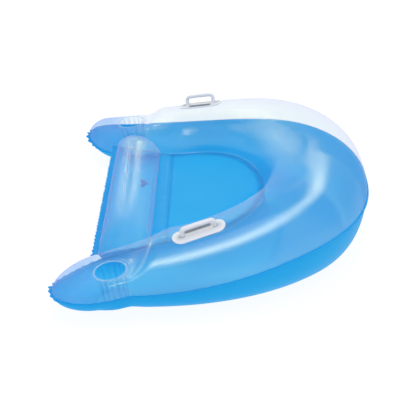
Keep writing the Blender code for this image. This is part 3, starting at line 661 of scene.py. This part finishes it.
CUPS = {side: (cup_centre(side), cup_axis(side)) for side in (-1, 1)}
VALVES = {
    "bolster_valve": (Vector((-0.235, -0.025, 0.17635)), Vector((0.45399, 0, 0.89101)), Vector((0.89101, 0, -0.45399))),
    "ring_valve": (Vector((-0.013, 0.29445, 0.064)), Vector((-0.27623, -0.86298, -0.42305)),
                   Vector((0.12897, 0.40291, -0.90611))),
}

top_bm = ring_film(True)
top_tree = BVHTree.FromBMesh(top_bm)
ring_top = make_piece("ring_top_film", cut_holes(top_bm, [(c, n, CUP_R + 0.001) for c, n in CUPS.values()]),
                      CLEAR, ("ring_top_sheet",), mats=(CLEAR_WELD,))
vo, vn, _ = VALVES["ring_valve"]
ring_bottom = make_piece("ring_bottom_film", cut_holes(ring_film(False), [(vo, vn, 0.0078)]), BLUE,
                         ("ring_bottom_sheet",), mats=(BLUE_EDGE,))


# ---------------------------------------------------------------- seat floor
def floor_film():
    lo, hi = 1.0, 1.9
    for _ in range(40):
        mid = (lo + hi) / 2
        lo, hi = (mid, hi) if station(mid)[1][0] > BOL_REAR + 0.0006 else (lo, mid)
    u_end = lo
    rows, cols = 110, 96
    bm = bmesh.new()
    grid = []
    weld_and_shade_lay = bm.verts.layers.float.new("weld_and_shade")
    for k in range(rows + 1):
        u = 0.035 + (u_end - 0.035) * k / rows
        _, i, _, _ = station(u)
        line = []
        for j in range(cols + 1):
            t = 2 * j / cols - 1
            y = (abs(i[1]) - 0.0016) * t
            x = i[0] - 0.0010
            e = math.sqrt(max((x - IN_X) / IN_A, 0.0) ** 2 + (y / (IN_B if x > IN_X else i[1])) ** 2)
            q = (1 - min(e, 1.0)) * 0.27
            turn = math.atan2(y, max(x - IN_X, 0.0) + 0.05) * 0.3 + x * 1.2
            z = i[2]
            z += 0.0011 * smooth(q / 0.012) * math.exp(-max(q - 0.02, 0) / 0.030) * math.sin(turn * 90 + 3 * noise.noise(Vector((x * 9, y * 9, 0))))
            z += 0.0016 * noise.noise(Vector((x * 7.0, y * 5.0, 2.2))) * smooth(q / 0.05)
            # crinkles pulled in by the bolster's weld
            d = x - BOL_REAR
            z += 0.0012 * math.exp(-d / 0.022) * math.sin(y * 2 * math.pi / 0.019 + 2.5 * noise.noise(Vector((0, y * 25, 5))))
            z -= 0.0010 * math.exp(-((d - 0.006) / 0.005) ** 2)
            line.append(bm.verts.new((x, y, z)))
            # the thin lines are the pressed welds; the broad band along the inner seam and the band beside the
            # bolster's weld are painted shade
            press = math.exp(-((q - 0.021) / 0.0022) ** 2) * 0.8 + 0.55 * smooth((0.020 - q) / 0.006)
            stitch = 0.75 + 0.25 * math.sin(turn * 260)
            line[-1][weld_and_shade_lay] = min(press * stitch + 0.50 * math.exp(-((d - 0.003) / 0.003) ** 2) + 0.25 * smooth((0.014 - d) / 0.01), 1.0)
        grid.append(line)
    for a, b in zip(grid, grid[1:]):
        for j in range(cols):
            bm.faces.new((a[j], b[j], b[j + 1], a[j + 1]))
    u0 = station(0.0)[1]
    pole = bm.verts.new((u0[0] - 0.0016, 0.0, u0[2]))
    for j in range(cols):
        bm.faces.new((pole, grid[0][j], grid[0][j + 1]))
    up_or_down(bm, True)
    return bm


floor_bm = floor_film()
floor_area = sum(f.calc_area() for f in floor_bm.faces)
seat_floor = make_piece("seat_floor_film", floor_bm, BLUE_FLOOR, ("seat_floor_sheet",))


# ---------------------------------------------------------------- front bolster
def bolster_film(top):
    rows, ends, mids = 44, 14, 110
    lift = SPLIT * 0.7
    sign = 1 if top else -1
    ss = [math.sin(math.pi / 2 * k / ends) for k in range(ends + 1)]
    bm = bmesh.new()
    dull_lay, seam_lay, painted_light_lay = (bm.verts.layers.float.new(name) for name in ("dull", "seam", "painted_light"))
    grid = []

    def dome(s, power):
        return max(1 - s ** power, 0.0) ** (1 / power)

    for j in range(rows + 1):
        t = j / rows
        f = math.pi * (t - 0.04 * math.sin(2 * math.pi * t))
        s_f = math.sin(f)
        x = BOL_X - BOL_R * math.cos(f)
        y_end = inner_seam_at(min(x, BOL_REAR))[0] - BOL_END_GAP
        near, far = BOL_NEAR_LEN - y_end, y_end - BOL_FAR_LEN
        ys = [(near - BOL_NEAR_LEN * s, dome(s, 2.0)) for s in reversed(ss)]
        ys += [(near + (far - near) * k / mids, 1.0) for k in range(1, mids)]
        ys += [(far + BOL_FAR_LEN * s, dome(s, 2.5)) for s in ss]
        line = []
        for y, cap in ys:
            front, rear = f, math.pi - f
            ph = 2.4 * noise.noise(Vector((y * 14, 4.0 if top else 9.0, 0)))
            wr = 0.0013 * smooth(front / 0.08) * math.exp(-front / 0.22) * math.sin(y * 2 * math.pi / 0.021 + ph)
            wr += 0.0011 * smooth(rear / 0.08) * math.exp(-rear / 0.20) * math.sin(y * 2 * math.pi / 0.017 + ph + 1.0)
            wr += 0.0012 * s_f * noise.noise(Vector((x * 8, y * 3.2, 1.0)))
            end = 1 - cap
            wr += 0.0016 * bump(end) * math.sin(x * 2 * math.pi / 0.019 + ph)
            z = BOL_Z + sign * (lift + (BOL_R + wr) * s_f * cap)
            line.append(bm.verts.new((x - wr * math.cos(f), y, z)))
            crest = math.exp(-((f - 1.54) / 0.36) ** 2) * (1 - smooth((-0.08 - y) / 0.22))
            line[-1][dull_lay] = 1.15 * (1 - crest * (1 - smooth((y - far + 0.022) / 0.030)))
            # painted light: the rear half of the bottom film is marked to be tinted paler
            line[-1][painted_light_lay] = smooth((f - 1.3) / 0.7)
            line[-1][seam_lay] = 0.8 * math.exp(-rear / 0.55) + 0.3 * math.exp(-front / 0.30) + 0.5 * smooth((end - 0.05) / 0.5)
        grid.append(line)
    m = len(grid[0])
    for a, b in zip(grid, grid[1:]):
        for k in range(m - 1):
            bm.faces.new((a[k], a[k + 1], b[k + 1], b[k]))
    # front flange, wavy and trimmed in scallops
    width = BOL_FRONT * (0.30 if top else 1.0)
    prev = grid[0]
    for q in range(1, 6):
        d = q / 5
        line = []
        for v0 in grid[0]:
            y = v0.co.y
            wav = 0.6 * math.sin(y * 2 * math.pi / 0.020 + 3.6 * noise.noise(Vector((y * 11, 0, 3))))
            wav += 0.8 * noise.noise(Vector((y * 34, 2.0, 3)))
            w = width * (1 - (0.0 if top else 0.26) * (0.5 - 0.5 * wav))
            reach = (inner_seam_at(v0.co.x - w * d)[0] - BOL_END_GAP) / grid[0][-1].co.y
            y *= 1 + (reach - 1) * smooth((abs(y / grid[0][-1].co.y) - 0.8) / 0.2)
            line.append(bm.verts.new((v0.co.x - w * d, y, v0.co.z + 0.0024 * wav * d * d * (width / BOL_FRONT))))
        for k in range(m - 1):
            bm.faces.new((line[k], line[k + 1], prev[k + 1], prev[k])).material_index = 1
        prev = line
    # rear flange, puckered towards the weld with the seat floor
    shrink = (inner_seam_at(BOL_REAR)[0] - BOL_END_GAP) / grid[-1][-1].co.y
    prev = grid[-1]
    for q in range(1, 13):
        d = q / 12
        line = []
        for v0 in grid[-1]:
            y = v0.co.y * (1 + (shrink - 1) * d)
            x = v0.co.x + (BOL_REAR - v0.co.x) * d
            pk = math.sin(y * 2 * math.pi / 0.016 + 2.2 * noise.noise(Vector((y * 18, 0, 6))))
            z = v0.co.z + 0.0012 * pk * smooth((d - 0.25) / 0.5) * (1 - 0.7 * smooth((d - 0.85) / 0.15))
            z += 0.0022 * math.exp(-((d - 0.80) / 0.11) ** 2)
            line.append(bm.verts.new((x, y, z)))
        for k in range(m - 1):
            bm.faces.new((prev[k], prev[k + 1], line[k + 1], line[k])).material_index = 2
        prev = line
    # end welds
    for col in (0, -1):
        side = -1 if col == 0 else 1
        prev = [row[col] for row in grid]
        for q in range(1, 4):
            line = [bm.verts.new((row[col].co.x, row[col].co.y + side * 0.0060 * q / 3, row[col].co.z))
                    for row in grid]
            for k in range(len(line) - 1):
                bm.faces.new((prev[k], prev[k + 1], line[k + 1], line[k])).material_index = 1
            prev = line
    up_or_down(bm, top)
    return bm


bol_bm = bolster_film(True)
bo, bn, _ = VALVES["bolster_valve"]
bolster_top = make_piece("bolster_top_film", cut_holes(bol_bm, [(bo, bn, 0.0078)]), CLEAR_BOLSTER,
                         ("bolster_top_sheet",), mats=(CLEAR_WELD, CLEAR_WELD))
bolster_bottom = make_piece("bolster_bottom_film", bolster_film(False), BLUE, ("bolster_bottom_sheet",),
                            mats=(BLUE_EDGE, BLUE_FLOOR))


# ---------------------------------------------------------------- cup wells
def cup_wall(pleats=15, steps=14, rows=14):
    bm = bmesh.new()
    lay = bm.verts.layers.float.new("fold")
    n = pleats * steps
    rings = []
    for i in range(rows + 1):
        t = i / rows
        r0 = CUP_R + (CUP_BASE_R - CUP_R) * t
        amp = 0.0007 * smooth(t / 0.12) * smooth((1 - t) / 0.08)
        ring = []
        for k in range(n):
            a = 2 * math.pi * k / n
            fold = math.cos(pleats * a + 0.5 * math.sin(5 * a + 2 * t))
            r = r0 - amp * (1 - fold) - 0.0004
            ring.append(bm.verts.new((r * math.cos(a), r * math.sin(a), 0.0009 - (CUP_DEPTH + 0.0009) * t)))
            # the fold value marks each pleat's valley for painted shade
            uneven = 0.75 + 0.9 * noise.noise(Vector((2.2 * math.cos(a), 2.2 * math.sin(a), 1.5 * t)))
            ring[-1][lay] = min((0.5 - 0.5 * fold) ** 1.3 * uneven, 1.0) * smooth(t / 0.10)
        rings.append(ring)
    for a, b in zip(rings, rings[1:]):
        for k in range(n):
            j = (k + 1) % n
            bm.faces.new((a[k], b[k], b[j], a[j]))
    bm.normal_update()
    return bm


def cup_base():
    """One disc of film with pressed rings and a short turned-up welding edge."""
    prof = [(0, -CUP_DEPTH - 0.0006)]
    for i in range(1, 25):
        r = CUP_BASE_R * i / 24
        prof.append((r, -CUP_DEPTH - 0.0006 + 0.0007 * math.cos(r / CUP_BASE_R * math.pi * 3) * (1 - (r / CUP_BASE_R) ** 2)))
    prof += [(CUP_BASE_R + 0.0005, -CUP_DEPTH - 0.0002), (CUP_BASE_R + 0.0007, -CUP_DEPTH + 0.0010)]
    return revolve(prof, 72, closed=False)


def cup_rim():
    """A welded bead with the two films' flat weld flange round it."""
    r0, r1 = CUP_R - 0.0016, CUP_RIM_R
    prof = [(r0, 0.0010)]
    for k in range(9):
        a = math.pi - math.pi * k / 8
        prof.append((r0 + 0.0015 + 0.0015 * math.cos(a), 0.0016 + 0.0015 * math.sin(a)))
    prof += [(r0 + 0.0038, 0.0014), (r1 - 0.0012, 0.0013), (r1 - 0.0002, 0.0012), (r1, 0.0009), (r1 - 0.0006, 0.0007)]
    bm = revolve(prof, 120)
    for v in bm.verts:
        a = math.atan2(v.co.y, v.co.x)
        v.co.z += 0.00035 * math.sin(25 * a) * smooth((math.hypot(v.co.x, v.co.y) - CUP_R) / 0.004)
    # the fold where the film turns down into the well, fading out at both ends
    tubes = []
    for k in range(61):
        a = math.radians(-75 + 150 * k / 60)
        thick = 0.0010 * math.sin(math.pi * k / 60) ** 0.5 + 0.00005
        c = Vector((0.0575 * math.cos(a), 0.0575 * math.sin(a), 0.0026))
        out = Vector((math.cos(a), math.sin(a), 0))
        tubes.append([bm.verts.new(c + out * (thick * math.cos(b)) + Vector((0, 0, thick * math.sin(b))))
                      for b in [2 * math.pi * i / 8 for i in range(8)]])
    for a, b in zip(tubes, tubes[1:]):
        for i in range(8):
            j = (i + 1) % 8
            bm.faces.new((a[i], b[i], b[j], a[j]))
    bm.faces.new(tubes[0])
    bm.faces.new(tubes[-1])
    bmesh.ops.recalc_face_normals(bm, faces=bm.faces)
    return bm


for label, side in (("left", -1), ("right", 1)):
    c, n = CUPS[side]
    m = frame_matrix(c, n, Vector((1, 0, 0)))
    make_piece(label + "_cup_wall_film", cup_wall(), CLEAR_CUP, (label + "_cup_wall",), matrix=m)
    make_piece(label + "_cup_base_film", cup_base(), CLEAR_BASE, (label + "_cup_base",), matrix=m, auto=40)
    make_piece(label + "_cup_rim_weld", cup_rim(), CLEAR_BEAD, (label + "_cup_rim",), matrix=m, auto=50)


# ---------------------------------------------------------------- grab handles
def drape(x, y):
    hit = top_tree.ray_cast(Vector((x, y, 1.0)), Vector((0, 0, -1)))
    return hit[0]


def handle_mesh(m, side):
    inv = m.inverted()
    r = HAN_WID / 2
    straight = HAN_LEN / 2 - r

    def surface(a, b):
        p = m @ Vector((a, b, 0))
        return (inv @ drape(p.x, p.y)).z

    bm = bmesh.new()
    # plate: rings from the spine to the edge, with a raised border and a rounded outer edge
    prof = [(0.0, 2.5), (0.12, 2.5), (0.24, 2.5), (0.34, 2.5), (0.42, 2.5), (0.50, 2.5), (0.58, 2.5), (0.66, 2.5), (0.73, 2.5),
            (0.79, 2.5), (0.83, 2.9), (0.87, 3.2), (0.91, 3.25), (0.95, 3.0), (0.98, 2.4), (1.0, 1.4), (0.995, 0.5)]

    def slot(a, b):
        """The finger recess pressed into the plate behind the grip: 0 outside, 1 inside; it also marks painted shade
        there.
        """
        v = -side * b
        return (smooth((HAN_SPAN / 2 - 0.006 - abs(a)) / 0.004) * smooth((v - 0.003) / 0.004) * smooth((0.0232 - v) / 0.0025))

    lay = bm.verts.layers.float.new("shade")
    around = []
    steps = 28
    for k in range(steps):
        around.append((-straight + 2 * straight * k / steps, -r, -straight + 2 * straight * k / steps))
    for k in range(24):
        a = -math.pi / 2 + math.pi * k / 24
        around.append((straight + r * math.cos(a), r * math.sin(a), straight))
    for k in range(steps):
        around.append((straight - 2 * straight * k / steps, r, straight - 2 * straight * k / steps))
    for k in range(24):
        a = math.pi / 2 + math.pi * k / 24
        around.append((-straight + r * math.cos(a), r * math.sin(a), -straight))
    rings = []
    for q, h in prof:
        ring = []
        for a, b, spine in around:
            x, y = spine + (a - spine) * q, b * q
            dip = slot(x, y)
            ring.append(bm.verts.new((x, y, surface(x, y) + 0.0006 + (h - 1.4 * dip) * 0.001)))
            ring[-1][lay] = dip
        rings.append(ring)
    low = []
    for q in (1.0, 0.7, 0.35, 0.0):
        low.append([bm.verts.new((spine + (a - spine) * q, b * q, surface(spine + (a - spine) * q, b * q) + 0.0006))
                    for a, b, spine in around])
    every = rings + low
    n = len(around)
    for a, b in zip(every, every[1:]):
        for k in range(n):
            j = (k + 1) % n
            bm.faces.new((a[k], a[j], b[j], b[k]))
    bmesh.ops.remove_doubles(bm, verts=rings[0], dist=1e-5)
    bmesh.ops.remove_doubles(bm, verts=low[-1], dist=1e-5)

    # grip: a rounded strap that rises from the plate, turns and runs across
    half, top, bend = HAN_SPAN / 2, HAN_RISE - HAN_BAR_T / 2, HAN_BEND
    f0, f1 = surface(-half, 0) + 0.002, surface(half, 0) + 0.002
    path = [(-half - 0.0010, f0 - 0.001), (-half - 0.0008, f0 + 0.0015), (-half, f0 + 0.005), (-half, 0.014)]
    path += [(-half + bend * (1 - math.cos(a)), top - bend + bend * math.sin(a))
             for a in [math.pi / 2 * k / 9 for k in range(10)]]
    path += [(-half + bend + (2 * half - 2 * bend) * k / 10, top + 0.0007 * math.sin(math.pi * k / 10)) for k in range(1, 10)]
    path += [(half - bend * (1 - math.cos(a)), top - bend + bend * math.sin(a))
             for a in [math.pi / 2 * k / 9 for k in range(9, -1, -1)]]
    path += [(half, 0.014), (half, f1 + 0.005), (half + 0.0008, f1 + 0.0015), (half + 0.0010, f1 - 0.001)]
    cnt = 24
    section = []
    for k in range(cnt):
        a = 2 * math.pi * (k + 0.5) / cnt
        c, s = math.cos(a), math.sin(a)
        section.append((HAN_BAR_W / 2 * math.copysign(abs(c) ** 0.62, c), HAN_BAR_T / 2 * math.copysign(abs(s) ** 0.72, s)))
    loops = []
    lean = Matrix.Rotation(-side * HAN_LEAN, 3, "X")
    for i, (a, z) in enumerate(path):
        a0, z0 = path[max(i - 1, 0)]
        a1, z1 = path[min(i + 1, len(path) - 1)]
        t = Vector((a1 - a0, 0, z1 - z0)).normalized()
        nrm = Vector((-t.z, 0, t.x))
        ends = min(i, len(path) - 1 - i)
        flare = (1.16, 1.10, 1.04)[ends] if ends < 3 else 1.0
        waist = 1.0 - 0.06 * bump(i / (len(path) - 1))
        loops.append([bm.verts.new(lean @ (Vector((a, 0, z)) + Vector((0, b * flare * waist, 0)) + nrm * (q * flare)))
                      for b, q in section])
    for a, b in zip(loops, loops[1:]):
        for k in range(cnt):
            j = (k + 1) % cnt
            bm.faces.new((a[k], a[j], b[j], b[k]))
    bm.faces.new(loops[0])
    bm.faces.new(loops[-1])

    # strengthening ribs outside each foot of the grip
    for sgn in (-1, 1):
        for off, reach in ((0.0088, 0.017), (0.0138, 0.016), (0.0190, 0.013)):
            x0 = sgn * (half + off)
            line = []
            for k in range(13):
                y = reach * (2 * k / 12 - 1)
                tall = 0.0021 * math.sqrt(max(1 - (2 * k / 12 - 1) ** 4, 0.0)) + 0.0001
                base = surface(x0, y) + 0.0006 + 0.0025
                line.append([bm.verts.new((x0 + 0.0011 * math.cos(a), y, base + tall * math.sin(a) - 0.0002))
                             for a in [math.pi * i / 5 for i in range(6)]])
            for a, b in zip(line, line[1:]):
                for i in range(5):
                    bm.faces.new((a[i], b[i], b[i + 1], a[i + 1]))
                bm.faces.new((a[5], b[5], b[0], a[0]))
            bm.faces.new(line[0])
            bm.faces.new(line[-1])
    bmesh.ops.recalc_face_normals(bm, faces=bm.faces)
    return bm


for label, side in (("left", -1), ("right", 1)):
    hit = drape(HAN_X[side], side * HAN_Y)
    along = Vector((math.cos(HAN_YAW), -side * math.sin(HAN_YAW), 0))
    tangent = (drape(hit.x + along.x * 0.06, hit.y + along.y * 0.06)
               - drape(hit.x - along.x * 0.06, hit.y - along.y * 0.06)).normalized()
    up = tangent.cross(Vector((0, 1, 0)))
    up = up if up.z > 0 else -up
    m = frame_matrix(hit, up, tangent)
    make_piece(label + "_grab_handle", handle_mesh(m, side), HANDLE, (label + "_handle",), matrix=m, auto=50)


# ---------------------------------------------------------------- air valves
def valve_flange():
    prof = [(0.0065, 0.0012), (0.0069, 0.0014), (0.0074, 0.0012), (0.0098, 0.0012), (0.0102, 0.0009), (0.0106, 0.0012),
            (0.0144, 0.0011), (0.0149, 0.0008), (0.0150, 0.0005), (0.0147, 0.0003), (0.0072, 0.0003), (0.0072, -0.0162),
            (0.0070, -0.0165), (0.0066, -0.0165), (0.0065, -0.0162)]
    return revolve(prof, 72)


def valve_stem():
    bm = revolve([(0.0034, -0.0145), (0.0036, -0.0147), (0.0060, -0.0147), (0.0062, -0.0144), (0.0062, 0.0015),
                  (0.0082, 0.0015), (0.0085, 0.0017), (0.0085, 0.0022), (0.0083, 0.0024), (0.0038, 0.0024),
                  (0.0034, 0.0021)], 60)
    lug = []
    for x in (-VAL_HINGE_R - 0.0016, -0.0070):
        w = 0.0025 if x < -0.008 else 0.0032
        lug.append([bm.verts.new((x, s * w, z)) for s, z in ((-1, 0.0015), (1, 0.0015), (1, 0.0024), (-1, 0.0024))])
    for k in range(4):
        j = (k + 1) % 4
        bm.faces.new((lug[0][k], lug[0][j], lug[1][j], lug[1][k]))
    bm.faces.new(lug[0])
    bm.faces.new(lug[1])
    bmesh.ops.recalc_face_normals(bm, faces=bm.faces)
    return bm


def valve_plug():
    bm = revolve([(0, -0.0010), (0.0019, -0.0010), (0.0022, -0.0007), (0.0030, 0.0028), (0.0078, 0.0028), (0.0080, 0.0030),
                  (0.0080, 0.0040), (0.0077, 0.0044), (0.0072, 0.0046), (0.0056, 0.0046), (0.0052, 0.0042),
                  (0.0030, 0.0042), (0.0026, 0.0045), (0, 0.0046)], 60)
    # tether with a round barrel on the hinge axis
    prof = [(-0.0066, 0.0029), (-0.0066, 0.0043)]
    for k in range(11):
        a = math.pi / 2 + math.pi * k / 10
        prof.append((-VAL_HINGE_R + 0.0008 * math.cos(a), VAL_HINGE_Z + 0.0008 * math.sin(a)))
    a = [bm.verts.new((x, -0.0024, z)) for x, z in prof]
    b = [bm.verts.new((x, 0.0024, z)) for x, z in prof]
    bm.faces.new(a)
    bm.faces.new(b)
    for k in range(len(prof)):
        j = (k + 1) % len(prof)
        bm.faces.new((a[k], a[j], b[j], b[k]))
    # lifting tab
    tab = [(0.0068, 0.0044), (0.0094, 0.0040), (0.0096, 0.0034), (0.0092, 0.0031), (0.0074, 0.0031)]
    a = [bm.verts.new((x, -0.0022, z)) for x, z in tab]
    b = [bm.verts.new((x, 0.0022, z)) for x, z in tab]
    bm.faces.new(a)
    bm.faces.new(b)
    for k in range(len(tab)):
        j = (k + 1) % len(tab)
        bm.faces.new((a[k], a[j], b[j], b[k]))
    bmesh.ops.recalc_face_normals(bm, faces=bm.faces)
    return bm


def valve_flap():
    return revolve([(0, -0.0154), (0.0047, -0.0154), (0.0050, -0.0152), (0.0050, -0.0150), (0.0047, -0.0148),
                    (0.0012, -0.0148), (0.0008, -0.0149), (0, -0.0149)], 48)


for label, (origin, normal, along) in VALVES.items():
    m = frame_matrix(origin, normal, along)
    make_piece(label + "_flange_disc", valve_flange(), VALVE, (label + "_flange",), matrix=m, auto=35)
    make_piece(label + "_stem_tube", valve_stem(), VALVE, (label + "_stem",), body=label + "_stem",
               matrix=m, auto=35)
    make_piece(label + "_plug_cap", valve_plug(), VALVE, (label + "_plug",), body=label + "_plug",
               matrix=m, auto=35)
    make_piece(label + "_check_flap", valve_flap(), VALVE, (label + "_flap",), body=label + "_flap",
               matrix=m, auto=35)


# ---------------------------------------------------------------- stage, light and camera
def stage_floor():
    bm = bmesh.new()
    bmesh.ops.create_grid(bm, x_segments=2, y_segments=2, size=30.0)
    m, nt, out = new_material("pale_studio_floor")
    tc = nt.nodes.new("ShaderNodeTexCoord")
    nz = node(nt, "ShaderNodeTexNoise", Scale=3.0, Detail=2.0)
    nt.links.new(tc.outputs["Object"], nz.inputs["Vector"])
    tone = nt.nodes.new("ShaderNodeMix")
    tone.data_type = "RGBA"
    tone.inputs["A"].default_value = (0.14, 0.14, 0.14, 1)
    tone.inputs["B"].default_value = (0.16, 0.16, 0.16, 1)
    nt.links.new(nz.outputs["Fac"], tone.inputs["Factor"])
    skin = node(nt, "ShaderNodeBsdfPrincipled", Roughness=0.9)
    skin.inputs["Specular IOR Level"].default_value = 0.0
    skin.inputs["Emission Color"].default_value = (1, 1, 1, 1)
    skin.inputs["Emission Strength"].default_value = 0.90
    nt.links.new(tone.outputs["Result"], skin.inputs["Base Color"])
    nt.links.new(skin.outputs["BSDF"], out.inputs["Surface"])
    me = bpy.data.meshes.new("studio_floor")
    bm.to_mesh(me)
    bm.free()
    ob = bpy.data.objects.new("studio_floor", me)
    ob.location.z = -0.0008
    me.materials.append(m)
    bpy.context.scene.collection.objects.link(ob)


stage_floor()


def softbox(name, position, target, width, height, power):
    data = bpy.data.lights.new(name, "AREA")
    data.shape = "RECTANGLE"
    data.size, data.size_y, data.energy = width, height, power
    ob = bpy.data.objects.new(name, data)
    ob.location = position
    ob.rotation_euler = (Vector(target) - Vector(position)).to_track_quat("-Z", "Y").to_euler()
    bpy.context.scene.collection.objects.link(ob)
    return ob


softbox("overhead_fill", (0.2, -0.8, 3.2), (0, 0, 0.1), 2.0, 2.0, 28)


def ring_light(name, band, radius=12.0, strength=15.5):
    """A long soft diffuser bent high over the set: only its reflection in the glossy film matters.
    Each row: azimuth, elevation and half-width in degrees, then its brightness."""
    rows_in = []
    for az, el, w, g in band:
        a, e = math.radians(az), math.radians(el)
        rows_in.append((math.cos(e) * math.cos(a), math.cos(e) * math.sin(a), math.sin(e), w, g))
    keys = list(range(len(band)))
    n, across = 150, 12

    def at(k):
        x, y, z, w, g = (hermite(k, keys, [r[i] for r in rows_in]) for i in range(5))
        return Vector((x, y, z)).normalized(), math.radians(w), max(g, 0.0)

    bm = bmesh.new()
    lay = bm.verts.layers.float.new("glow")
    rows = []
    for q in range(n + 1):
        k = (len(band) - 1) * q / n
        d, w, g = at(k)
        ahead, behind = at(min(k + 0.05, keys[-1]))[0], at(max(k - 0.05, 0))[0]
        across_dir = (ahead - behind).cross(d).normalized()
        row = []
        for j in range(across + 1):
            t = 2 * j / across - 1
            p = d * math.cos(w * 1.7 * t) + across_dir * math.sin(w * 1.7 * t)
            row.append(bm.verts.new(p * radius))
            row[-1][lay] = g * math.exp(-(t * 1.42) ** 2 * 2.0) * smooth((1 - abs(t)) / 0.2)
        rows.append(row)
    for a, b in zip(rows, rows[1:]):
        for j in range(across):
            bm.faces.new((a[j], a[j + 1], b[j + 1], b[j]))
    m, nt, out = new_material("ring_light_diffuser")
    glow = nt.nodes.new("ShaderNodeAttribute")
    glow.attribute_name = "glow"
    em = node(nt, "ShaderNodeEmission", Color=(1.0, 0.93, 0.45, 1.0))
    nt.links.new(math_node(nt, "MULTIPLY", glow.outputs["Fac"], strength), em.inputs["Strength"])
    nt.links.new(em.outputs["Emission"], out.inputs["Surface"])
    me = bpy.data.meshes.new(name)
    bm.to_mesh(me)
    bm.free()
    me.materials.append(m)
    ob = bpy.data.objects.new(name, me)
    bpy.context.scene.collection.objects.link(ob)
    ob.visible_diffuse = False
    ob.visible_transmission = False
    ob.visible_shadow = False
    ob.visible_camera = False


ring_light("ring_light", ((-113, 48, 13, 0.0), (-119, 55, 13, 0.42), (-120, 62, 13, 0.85), (-82, 67, 13, 0.80),
                          (-14, 70.5, 11, 0.68), (21, 65, 9, 0.72), (45.5, 53, 7, 0.85), (62, 44.5, 5.2, 1.1), (73, 36, 4.4, 0.95),
                          (80, 30, 4.2, 0.75), (87, 26, 4.2, 0.62), (94, 24, 4.6, 0.6), (102, 23.5, 6, 1.1), (112, 26, 9, 2.0),
                          (122, 29.5, 11, 2.0), (134, 32.5, 12, 1.8), (147, 33.5, 12, 1.1), (162, 33, 11, 0.5), (178, 34, 10, 0.2),
                          (190, 36, 9, 0.0)))
ring_light("low_fill", ((100, 14, 14, 0.0), (110, 17, 18, 0.14), (124, 20, 22, 0.22), (140, 22, 22, 0.20), (156, 22, 18, 0.10),
                        (172, 22, 14, 0.0)))

world = bpy.data.worlds.new("soft_studio")
world.use_nodes = True
bg = world.node_tree.nodes["Background"]
bg.inputs["Color"].default_value = (0.97, 0.985, 1.0, 1)
bg.inputs["Strength"].default_value = 0.88
bpy.context.scene.world = world

scene = bpy.context.scene
scene.view_settings.view_transform = "Standard"
scene.view_settings.look = "None"

CAM_SCALE, PSI, CAM_EL = 1.03, math.radians(-0.54), math.radians(30.13)
cam_data = bpy.data.cameras.new("photo_camera")
cam_data.sensor_width = 36
cam_data.lens = 1041 / 416 * 36
cam_data.clip_end = 100
cam = bpy.data.objects.new("photo_camera", cam_data)
turn = Matrix.Rotation(-PSI, 3, "Z")
cam.location = turn @ Vector((-0.0478 * CAM_SCALE, -2.9044 * CAM_SCALE, 1.75 * CAM_SCALE))
cam.location.x += 0.0215
cam.rotation_euler = (turn @ Vector((0, math.cos(CAM_EL), -math.sin(CAM_EL)))).to_track_quat("-Z", "Y").to_euler()
scene.collection.objects.link(cam)
scene.camera = cam
